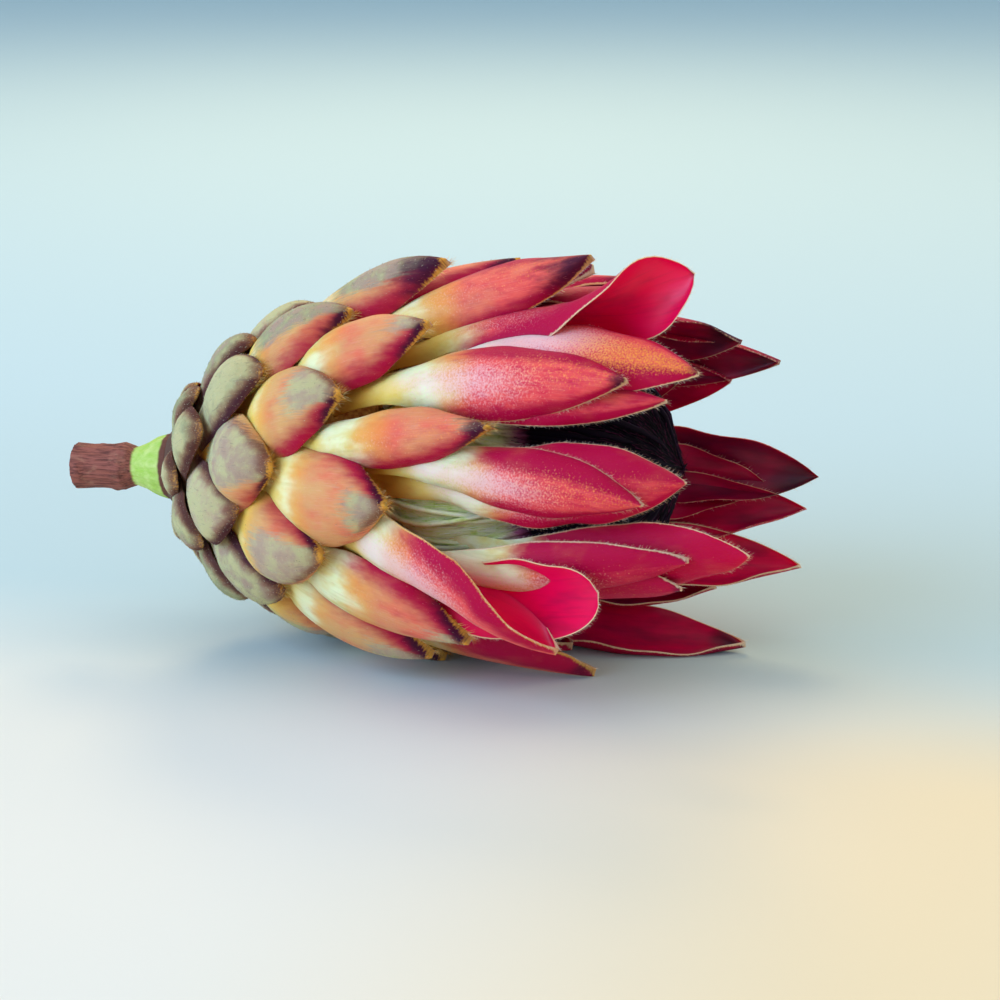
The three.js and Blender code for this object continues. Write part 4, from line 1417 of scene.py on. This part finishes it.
def floret_skin():
    """Floret tubes: waxy and pale green at the foot, velvety purple-black at the tip."""
    material, tree = new_material("pale_green_to_purple_floret")
    patches = object_noise(tree, FLORET_PATCH_MM)
    skin = painted(
        tree,
        "#F8FCB8",
        ("#CEEC60", broken_mask(tree, 0.0, patches, 1.0, -0.1, 0.3)),
        ("#B0587C", broken_mask(tree, axis_zone(tree, *MAUVE_X), patches, 0.6, 0.1, 0.8)),
        ("#0A0212", broken_mask(tree, axis_zone(tree, *PURPLE_BLACK_X), patches, 0.4, 0.1, 0.7)),
        ("#3A0A28", broken_mask(tree, 0.0, patches, 1.0, 0.1, 0.35, 0.5)),
    )
    bump = add_node(tree, "ShaderNodeBump", {"Strength": 0.5, "Distance": FLORET_BUMP_M, "Height": patches})
    velvety = {"Value": axis_zone(tree, *VELVETY_X), "To Min": 0.45, "To Max": 0.8}
    rough = add_node(tree, "ShaderNodeMapRange", velvety)
    shader = add_node(
        tree,
        "ShaderNodeBsdfPrincipled",
        {
            "Base Color": skin,
            "Roughness": rough.outputs["Result"],
            "Normal": bump.outputs["Normal"],
            "Specular IOR Level": 0.1,
            "Subsurface Weight": 0.5,
            "Subsurface Radius": (0.9, 1.0, 0.5),
            "Subsurface Scale": 0.003,
        },
    )
    add_node(tree, "ShaderNodeOutputMaterial", {"Surface": shader.outputs["BSDF"]})
    return material


floret_material = floret_skin()
empty_host = bpy.data.meshes.new("no_host")
floret_mesh = grown_mesh("florets", floret_growth, empty_host, {"Skin": floret_material})
floret_tubes = finished_piece("floret_tubes", floret_mesh)

# %% The dark mass under the outermost florets
MASS_BELOW_MM = 1.0
MASS_SIDES = 120
MASS_STEP_MM = 0.8


def floret_relief(x, angle):
    return 0.25 * np.sin(34 * angle + 0.3 * x)


mass_profile = [(x, r - MASS_BELOW_MM) for x, r in FLORET_BODY]
mass_mesh = turned_skin("floret_mass", mass_profile, MASS_SIDES, MASS_STEP_MM, floret_relief)
mass_mesh.materials.append(floret_material)
floret_mass = finished_piece("floret_mass", mass_mesh)

# %% [markdown]
# ## Hairs
#
# Hairs are what makes a protea a protea: golden fringes on the tips, a cream margin on each long
# bract, silky down on the blades, felt on the scales, dark fur and pale silk on the florets. Tens of
# thousands of them follow surfaces, so one Geometry Nodes tree grows them all. It scatters points on
# a host mesh as thickly as an attribute says, sets a bent spike on each, points it where the blade
# grows, and picks one of three shades for it. Hosts and numbers differ, the tree stays the same.
# Real hairs are finer than a picture of the whole head can show, so these are thicker and fewer.

# %% One tree for every kind of hair
SHORTEST_HAIR = 0.55
LONGEST_HAIR = 1.2


def hair_tree(material):
    """Bent spikes on a host mesh. The material only fills the tree's shades until they are set."""
    tree, given, result = new_tree(
        "hairs_on_a_surface",
        {
            "Per Square Mm": 2.0,
            "Length Mm": 1.0,
            "Thickness Mm": 0.04,
            "Lift": 0.2,
            "Spread": 0.2,
            "Bend": 0.2,
            "Segments": 2,
            "Seed": 1,
            "Dark": material,
            "Usual": material,
            "Pale": material,
        },
    )
    density = add_node(tree, "GeometryNodeInputNamedAttribute", {"Name": "thickly"}).outputs[0]
    thickly = add_node(tree, "ShaderNodeMath", {0: density, 1: given["Per Square Mm"]}, operation="MULTIPLY")
    spots = add_node(
        tree,
        "GeometryNodeDistributePointsOnFaces",
        {"Mesh": given["Geometry"], "Density": thickly.outputs[0], "Seed": given["Seed"]},
    )
    spike = add_node(
        tree,
        "GeometryNodeMeshCone",
        {
            "Vertices": 3,
            "Side Segments": given["Segments"],
            "Radius Top": 0.0,
            "Radius Bottom": 1.0,
            "Depth": 1.0,
        },
    )
    place = add_node(tree, "GeometryNodeInputPosition").outputs[0]
    height = add_node(tree, "ShaderNodeSeparateXYZ", {"Vector": place}).outputs["Z"]
    squared = add_node(tree, "ShaderNodeMath", {0: height, 1: height}, operation="MULTIPLY")
    shift = add_node(tree, "ShaderNodeMath", {0: squared.outputs[0], 1: given["Bend"]}, operation="MULTIPLY")
    bend = add_node(tree, "ShaderNodeCombineXYZ", {"X": shift.outputs[0]})
    bent = add_node(
        tree, "GeometryNodeSetPosition", {"Geometry": spike.outputs[0], "Offset": bend.outputs[0]}
    )
    shades = []
    for shade in ("Dark", "Usual", "Pale"):
        dressed = add_node(
            tree, "GeometryNodeSetMaterial", {"Geometry": bent.outputs[0], "Material": given[shade]}
        )
        shades.append(add_node(tree, "GeometryNodeGeometryToInstance", {0: dressed.outputs[0]}))
    choice = tree.nodes.new("GeometryNodeJoinGeometry")
    for shade in shades:
        tree.links.new(shade.outputs[0], choice.inputs[0])
    grow = add_node(
        tree, "GeometryNodeInputNamedAttribute", {"Name": "grow"}, data_type="FLOAT_VECTOR"
    ).outputs[0]
    share = add_node(tree, "GeometryNodeInputNamedAttribute", {"Name": "hair_share"}).outputs[0]
    random_way = add_node(
        tree,
        "FunctionNodeRandomValue",
        {"Min": (-1.0, -1.0, -1.0), "Max": (1.0, 1.0, 1.0), "Seed": given["Seed"]},
        data_type="FLOAT_VECTOR",
    ).outputs[0]
    lifted = add_node(
        tree, "ShaderNodeVectorMath", {0: spots.outputs["Normal"], "Scale": given["Lift"]}, operation="SCALE"
    )
    strayed = add_node(
        tree,
        "ShaderNodeVectorMath",
        {0: random_way, 1: given["Spread"], 2: lifted.outputs[0]},
        operation="MULTIPLY_ADD",
    )
    aimed = add_node(tree, "ShaderNodeVectorMath", {0: strayed.outputs[0], 1: grow}, operation="ADD")
    turned = add_node(tree, "FunctionNodeAlignRotationToVector", {"Vector": aimed.outputs[0]}, axis="Z")
    spin = add_node(
        tree,
        "FunctionNodeRandomValue",
        {"Min_001": 0.0, "Max_001": math.tau, "Seed": given["Seed"]},
    ).outputs[1]
    own_turn = add_node(tree, "FunctionNodeAxisAngleToRotation", {"Axis": (0.0, 0.0, 1.0), "Angle": spin})
    spun = add_node(
        tree,
        "FunctionNodeRotateRotation",
        {"Rotation": turned.outputs[0], "Rotate By": own_turn.outputs[0]},
        rotation_space="LOCAL",
    )
    length = add_node(
        tree,
        "FunctionNodeRandomValue",
        {"Min_001": SHORTEST_HAIR, "Max_001": LONGEST_HAIR, "Seed": given["Seed"]},
    ).outputs[1]
    scaled = add_node(tree, "ShaderNodeMath", {0: length, 1: given["Length Mm"]}, operation="MULTIPLY")
    own = add_node(tree, "ShaderNodeMath", {0: scaled.outputs[0], 1: share}, operation="MULTIPLY")
    size = add_node(
        tree,
        "ShaderNodeCombineXYZ",
        {"X": given["Thickness Mm"], "Y": given["Thickness Mm"], "Z": own.outputs[0]},
    )
    which = add_node(
        tree,
        "FunctionNodeRandomValue",
        {"Min_002": 0, "Max_002": 2, "Seed": given["Seed"]},
        data_type="INT",
    ).outputs[2]
    hairs = add_node(
        tree,
        "GeometryNodeInstanceOnPoints",
        {
            "Points": spots.outputs["Points"],
            "Instance": choice.outputs[0],
            "Pick Instance": True,
            "Instance Index": which,
            "Rotation": spun.outputs[0],
            "Scale": size.outputs[0],
        },
    )
    real = add_node(tree, "GeometryNodeRealizeInstances", {"Geometry": hairs.outputs[0]})
    tree.links.new(real.outputs[0], result)
    return tree


def hair_material(name, hex_value, roughness):
    """One shade of hair: a dry cellulose thread. It gives a soft glint along its length."""
    material, tree = new_material(name)
    shader = add_node(
        tree,
        "ShaderNodeBsdfPrincipled",
        {"Base Color": colour(hex_value), "Roughness": roughness, "Specular IOR Level": 0.2},
    )
    add_node(tree, "ShaderNodeOutputMaterial", {"Surface": shader.outputs["BSDF"]})
    return material


def three_shades(name, dark, usual, pale, roughness=0.5):
    """A dark, a usual and a pale hair, by the names of the tree's inputs."""
    return {
        "Dark": hair_material(name + "_dark", dark, roughness),
        "Usual": hair_material(name + "_usual", usual, roughness),
        "Pale": hair_material(name + "_pale", pale, roughness),
    }


golden_shades = three_shades("golden_fringe_hair", "#C07A2E", "#E8A83C", "#F8D890")
cream_shades = three_shades("cream_margin_hair", "#E8BC90", "#F6DDB8", "#FFF4E0")
silver_shades = three_shades("silver_down_hair", "#CC4058", "#E06470", "#EC8C84")
felt_shades = three_shades("felt_hair", "#8A8264", "#B0A888", "#D0C8A8", 0.8)
fur_shades = three_shades("floret_fur", "#040108", "#0C0414", "#40082C", 0.85)
silk_shades = three_shades("floret_silk", "#E4EC88", "#F8F8C4", "#FFFFF0", 0.6)
all_hairs = hair_tree(golden_shades["Usual"])


def hair_piece(name, host, shades, values):
    """One finished piece of hairs, grown on a host with the tree's inputs set to these values."""
    return finished_piece(name, grown_mesh(name, all_hairs, host, {**values, **shades}))


print(all_hairs.name, "has", len(all_hairs.nodes), "nodes")

# %% [markdown]
# ### Hosts for the hairs
#
# A host is a bare surface that only says where hairs stand, how thickly, how long and which way they
# grow. The outer faces of the blades carry down and felt. A narrow ribbon along the rim, from root
# over the tip and back, carries the fringes.


# %% Down and felt on the outer faces
def outer_host(name, numbers, rows, columns, thickly, hair_share):
    """The outer faces of a group of bracts with the attributes that the hair tree reads."""
    t = rows_to_tip(rows)
    v = columns_to_edges(columns)
    outside = blade_faces(rows, columns)[0]
    points, faces, grow, dense, lengths = [], [], [], [], []
    for order, number in enumerate(numbers):
        plan = bract_plan(number)
        outer, _, half = blade(plan, t, v)
        told = masks(plan, t, v, half)
        points.append(outer.reshape(-1, 3))
        faces.append(outside + order * (rows + 1) * (columns + 1))
        forward = directions(plan, t)[0]
        grow.append(np.repeat(forward, columns + 1, axis=0))
        dense.append(thickly(told).ravel())
        lengths.append(hair_share(told).ravel())
    attributes = {
        "grow": np.concatenate(grow),
        "thickly": np.concatenate(dense),
        "hair_share": np.concatenate(lengths),
    }
    return mesh_from(name, np.concatenate(points), np.concatenate(faces), attributes)


def down_density(told):
    """Silky down where the blade is exposed and not felted."""
    return smooth((told["along"] - 0.3) / 0.25) * (1 - told["felt"])


def felt_density(told):
    return told["felt"] * smooth((told["along"] - 0.25) / 0.2)


def full_length(told):
    return 0.7 + 0.3 * told["tint"]


DOWNY_NUMBERS = range(5, 36)
FELTED_NUMBERS = range(BASAL_NUMBERS.start, LONG_NUMBERS.start)
DOWN = {
    "Per Square Mm": 1.0,
    "Length Mm": 0.8,
    "Thickness Mm": 0.01,
    "Lift": 0.2,
    "Spread": 0.3,
    "Segments": 1,
    "Seed": 11,
}
FELT = {
    "Per Square Mm": 2.2,
    "Length Mm": 0.5,
    "Thickness Mm": 0.035,
    "Lift": 0.5,
    "Spread": 0.5,
    "Segments": 1,
    "Seed": 12,
}
down_host = outer_host("down_host", standing(DOWNY_NUMBERS), 24, 8, down_density, full_length)
felt_host = outer_host("felt_host", standing(FELTED_NUMBERS), 16, 8, felt_density, full_length)
silver_down = hair_piece("silver_down", down_host, silver_shades, DOWN)
scale_felt = hair_piece("scale_felt", felt_host, felt_shades, FELT)


# %% Fringes along the rims
FORWARD_AT_RIM = 0.7
MORE_FORWARD_AT_TIP = 1.5
TIP_FROM = 0.8


def rim_host(name, numbers, steps, thickly, hair_share):
    """A ribbon along each blade's rim, from the root over the tip and back on the other side."""
    t = rows_to_tip(steps)
    v = np.array([-1.0, 1.0])
    points, faces, grow, dense, lengths = [], [], [], [], []
    for order, number in enumerate(numbers):
        plan = bract_plan(number)
        outer, inner, half = blade(plan, t, v)
        forward, side, _ = directions(plan, t)
        told = masks(plan, t, v, half)
        outer_line = np.concatenate([outer[:, 0], outer[::-1, 1]])
        inner_line = np.concatenate([inner[:, 0], inner[::-1, 1]])
        lean = smooth((t - TIP_FROM) / 0.2)[:, None] * MORE_FORWARD_AT_TIP + FORWARD_AT_RIM
        away = np.concatenate([unit(forward * lean - side), unit(forward * lean + side)[::-1]])
        points.append(np.concatenate([outer_line, inner_line]))
        many = len(outer_line)
        a = np.arange(many - 1)
        start = order * 2 * many
        faces.append(start + np.stack([a, many + a, many + a + 1, a + 1], axis=1))
        grow.append(np.concatenate([away, away]))
        for store, rule in ((dense, thickly), (lengths, hair_share)):
            both = rule(told, number)
            line = np.concatenate([both[:, 0], both[::-1, 1]])
            store.append(np.concatenate([line, line]))
    attributes = {
        "grow": np.concatenate(grow),
        "thickly": np.concatenate(dense),
        "hair_share": np.concatenate(lengths),
    }
    return mesh_from(name, np.concatenate(points), np.concatenate(faces), attributes)


def fringe_density(told, number):
    """Golden fringe near the tips of the outer bracts."""
    return 0.6 * smooth((told["along"] - 0.5) / 0.3) + 1.6 * smooth((told["along"] - 0.92) / 0.05)


def fringe_length(told, number):
    return 0.45 + 1.4 * smooth((told["along"] - 0.9) / 0.08)


def margin_density(told, number):
    """Cream hairs along the long bracts, thin on those with a faint rim."""
    return smooth((told["along"] - 0.35) / 0.2) * (0.3 if number in FAINT_RIMS else 1.0)


def margin_length(told, number):
    return 0.7 + 0.5 * smooth((told["along"] - 0.75) / 0.25)


FRINGED_NUMBERS = range(-6, LONG_NUMBERS.start)
MARGIN_NUMBERS = range(LONG_NUMBERS.start, INMOST_NUMBERS.stop)
FRINGE = {
    "Per Square Mm": 26.0,
    "Length Mm": 0.9,
    "Thickness Mm": 0.03,
    "Lift": 0.0,
    "Spread": 0.45,
    "Bend": 0.25,
    "Segments": 2,
    "Seed": 21,
}
MARGIN = {**FRINGE, "Per Square Mm": 30.0, "Length Mm": 0.7, "Thickness Mm": 0.02, "Seed": 22}
fringe_host = rim_host("fringe_host", standing(FRINGED_NUMBERS), 40, fringe_density, fringe_length)
margin_host = rim_host("margin_host", standing(MARGIN_NUMBERS), 60, margin_density, margin_length)
golden_fringe = hair_piece("golden_fringe", fringe_host, golden_shades, FRINGE)
cream_margin = hair_piece("cream_margin", margin_host, cream_shades, MARGIN)

# %% Dark fur and pale silk over the florets
FUR_BELOW_MM = 0.2
FUR_SIDES = 60
FUR_STEP_MM = 1.5
SLOPE_FROM_X = 41
SLOPE_TO_X = 88
SLOPE_SPACING_MM = 0.5
FUR_FROM_X = 62
FUR_OVER_MM = 7
SILK_FROM_X = 43
SILK_OVER_MM = 2
SILK_FADES_FROM_X = 58
SILK_FADES_OVER_MM = 8
FUR = {
    "Per Square Mm": 3.2,
    "Length Mm": 3.6,
    "Thickness Mm": 0.07,
    "Lift": 0.22,
    "Spread": 0.16,
    "Bend": 0.15,
    "Segments": 2,
    "Seed": 31,
}
SILK = {
    **FUR,
    "Per Square Mm": 2.6,
    "Length Mm": 6.0,
    "Thickness Mm": 0.03,
    "Lift": 0.28,
    "Spread": 0.09,
    "Seed": 32,
}
fur_profile = [(x, r - FUR_BELOW_MM) for x, r in FLORET_BODY]
fur_host = turned_skin("fur_host", fur_profile, FUR_SIDES, FUR_STEP_MM, floret_relief)
silk_host = turned_skin("silk_host", fur_profile, FUR_SIDES, FUR_STEP_MM, floret_relief)
fur_points = np.array([vertex.co for vertex in fur_host.vertices])
fur_x = np.array([vertex.co.x for vertex in fur_host.vertices])
slope_x = np.linspace(SLOPE_FROM_X, SLOPE_TO_X, round((SLOPE_TO_X - SLOPE_FROM_X) / SLOPE_SPACING_MM) + 1)
slope_at = np.interp(fur_x, slope_x, np.gradient(along(FLORET_BODY, slope_x), SLOPE_SPACING_MM))
fur_out = unit(fur_points * (0, 1, 1) + (0, 1e-6, 0))
fur_way = unit(np.array([[1.0, 0.0, 0.0]]) + fur_out * slope_at[:, None])
is_fur = smooth((fur_x - FUR_FROM_X) / FUR_OVER_MM)
is_silk = smooth((fur_x - SILK_FROM_X) / SILK_OVER_MM)
is_silk = is_silk * (1 - smooth((fur_x - SILK_FADES_FROM_X) / SILK_FADES_OVER_MM))
for host, thickly in ((fur_host, is_fur), (silk_host, is_silk)):
    keep_values(host, {"grow": fur_way, "thickly": thickly, "hair_share": 0.6 + 0.4 * thickly})
floret_fur = hair_piece("floret_fur", fur_host, fur_shades, FUR)
floret_silk = hair_piece("floret_silk", silk_host, silk_shades, SILK)

# %% [markdown]
# ## Tie the pieces to the solids
#
# Each piece rides on the object's one body, and the imported solids that it stands for are hidden, so that
# the plain solids aren't shown but still carry the weight.

# %% Ride and replace
PIECES = [
    (woody_stem, "bark", ["stem"]),
    (receptacle, "scales", []),
    (basal_scales, "scales", ["outer_bracts"]),
    (middle_bracts, "scales", ["outer_bracts"]),
    (scale_felt, "scales", []),
    (golden_fringe, "scales", []),
    (long_bracts, "petals", ["inner_bracts"]),
    (inmost_bracts, "petals", ["inner_bracts"]),
    (silver_down, "petals", []),
    (cream_margin, "petals", []),
    (floret_mass, "florets", ["florets"]),
    (floret_tubes, "florets", ["florets"]),
    (floret_fur, "florets", []),
    (floret_silk, "florets", []),
]
for piece, slot_name, stood_for in PIECES:
    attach(piece, "root")
    if stood_for:
        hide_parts(*stood_for)
print(sum(triangles_of(piece.data) for piece, _, _ in PIECES), "triangles in", len(PIECES), "pieces")

# %% [markdown]
# ## Table, light and camera
#
# The flower lies on a pale sheet that runs up behind it, so that there is no horizon line. The sheet
# is cool white, painted darker and bluer in a band from just in front of the flower back as a painted
# soft shadow, and painted cream near the viewer on the right as painted warm light. Warm light falls
# from behind, a little to the left, and a warm lamp stands at the right. A large cool light at the
# front left fills the shadow, which stays soft. A sheet that took its tints from light alone would
# need more lamps than this.

# %% The pale sheet
SHEET_HALF_WIDTH = 2.5
SHEET_FRONT = -1.2
SHEET_BACK = 1.6
SHEET_RISE_RADIUS = 0.8
SHEET_TOP = 2.5
PAPER_TOOTH_MM = (0.6, 0.6, 0.6)
PAPER_BUMP_M = 0.0001
# Each tint of the sheet comes in along one direction, between two places in metres.
# The middle zone is a painted soft shadow and the right zone is painted warm light; the far zone is the
# backdrop's own cool tint.
SHEET_ZONES = {"middle": ("Y", -0.05, 0.03), "far": ("Y", 0.04, 0.2), "right": ("X", 0.0, 0.1)}


def pale_paper():
    """Matt paper with a fine tooth, cool white behind the flower, with a painted soft shadow in a darker
    band from just in front of it and painted warm light in cream near the viewer at the right.
    """
    material, tree = new_material("matt_pale_paper")
    place = add_node(tree, "ShaderNodeTexCoord").outputs["Object"]
    along_axes = add_node(tree, "ShaderNodeSeparateXYZ", {"Vector": place}).outputs
    zones = {}
    for name, (axis, start, end) in SHEET_ZONES.items():
        ends = {"Value": along_axes[axis], "From Min": start, "From Max": end}
        zone = add_node(tree, "ShaderNodeMapRange", ends, interpolation_type="SMOOTHSTEP")
        zones[name] = zone.outputs["Result"]
    tooth = object_noise(tree, PAPER_TOOTH_MM)
    # Painted warm light: cream near the viewer at the right.
    near = painted(tree, "#E4E2D4", ("#ECD8AE", zones["right"]))
    # Painted soft shadow: the darker blue band from just in front of the flower back.
    tone = painted(tree, near, ("#B6CED0", zones["middle"]), ("#B8D2D8", zones["far"]))
    bump = add_node(tree, "ShaderNodeBump", {"Strength": 0.15, "Distance": PAPER_BUMP_M, "Height": tooth})
    shader = add_node(
        tree,
        "ShaderNodeBsdfPrincipled",
        {"Base Color": tone, "Roughness": 0.95, "Normal": bump.outputs["Normal"]},
    )
    add_node(tree, "ShaderNodeOutputMaterial", {"Surface": shader.outputs["BSDF"]})
    return material


def sheet_profile():
    """The sheet's side view: flat on the table, then a quarter turn up, then upright."""
    turn = np.linspace(0, np.pi / 2, 24)
    bend = [
        (SHEET_BACK + SHEET_RISE_RADIUS * math.sin(a), SHEET_RISE_RADIUS * (1 - math.cos(a))) for a in turn
    ]
    return [(SHEET_FRONT, 0.0), *bend, (SHEET_BACK + SHEET_RISE_RADIUS, SHEET_TOP)]


profile = sheet_profile()
paper_points = [(x, y, z) for y, z in profile for x in (-SHEET_HALF_WIDTH, SHEET_HALF_WIDTH)]
paper_faces = [(2 * i, 2 * i + 1, 2 * i + 3, 2 * i + 2) for i in range(len(profile) - 1)]
paper_mesh = mesh_from("paper_sheet", paper_points, paper_faces)
paper_mesh.materials.append(pale_paper())
paper_sheet = bpy.data.objects.new("paper_sheet", paper_mesh)
bpy.context.scene.collection.objects.link(paper_sheet)
print("sheet is", 2 * SHEET_HALF_WIDTH, "m wide")

# %% Soft lights and sky
# Name, place in metres, width in metres, watts and colour of each light.
LIGHTS = [
    ("sun_side", (-0.20, 0.72, 0.58), 0.28, 3.2, "#FFDCA4"),
    ("warm_lamp", (0.70, 0.50, 0.42), 0.4, 1.6, "#FFD49A"),
    ("ceiling", (0.0, 0.10, 0.90), 0.8, 1.4, "#FFF2DC"),
    ("room", (-0.75, -0.85, 0.55), 1.0, 17.0, "#A8CCFF"),
]
LIT_SPOT = (0, 0, 0.03)


def area_light(name, place, size, watts, hex_value):
    """A square soft light that looks at the middle of the head."""
    data = bpy.data.lights.new(name, "AREA")
    data.size = size
    data.energy = watts
    data.color = colour(hex_value)[:3]
    lamp = bpy.data.objects.new(name, data)
    bpy.context.scene.collection.objects.link(lamp)
    lamp.location = place
    lamp.rotation_euler = (Vector(place) - Vector(LIT_SPOT)).to_track_quat("Z", "Y").to_euler()


for described in LIGHTS:
    area_light(*described)
world = bpy.data.worlds.new("pale_sky")
world.use_nodes = True
sky = world.node_tree.nodes["Background"]
sky.inputs["Color"].default_value = colour("#E8F4FF")
sky.inputs["Strength"].default_value = 0.7
bpy.context.scene.world = world
bpy.context.scene.view_settings.view_transform = "Standard"
print(len(LIGHTS), "soft lights")

# %% [markdown]
# ### The camera
#
# The view is from a little above and from a little toward the opening of the head, 15 degrees each
# way, with a long lens at half a metre, as a flower is photographed.

# %% The camera at the photograph's angle
CAMERA_AZIMUTH = 15.0
CAMERA_ELEVATION = 15.0
CAMERA_DISTANCE_MM = 481.25
CAMERA_TARGET_MM = (13.037, 2.811, 26.465)
LENS_MM = 105.0
SENSOR_MM = 36.0


def place_camera():
    """A camera on a sphere round the target, turned to look at it."""
    azimuth = math.radians(CAMERA_AZIMUTH)
    elevation = math.radians(CAMERA_ELEVATION)
    back = np.array(
        [
            math.sin(azimuth) * math.cos(elevation),
            -math.cos(azimuth) * math.cos(elevation),
            math.sin(elevation),
        ]
    )
    data = bpy.data.cameras.new("view")
    data.lens = LENS_MM
    data.sensor_width = SENSOR_MM
    data.clip_start = 0.01
    data.clip_end = 20
    camera = bpy.data.objects.new("view", data)
    bpy.context.scene.collection.objects.link(camera)
    camera.location = (np.array(CAMERA_TARGET_MM) + back * CAMERA_DISTANCE_MM) * MM
    camera.rotation_euler = (math.radians(90 - CAMERA_ELEVATION), 0, azimuth)
    bpy.context.scene.camera = camera
    return camera


print("camera at", [round(c, 3) for c in place_camera().location], "m")
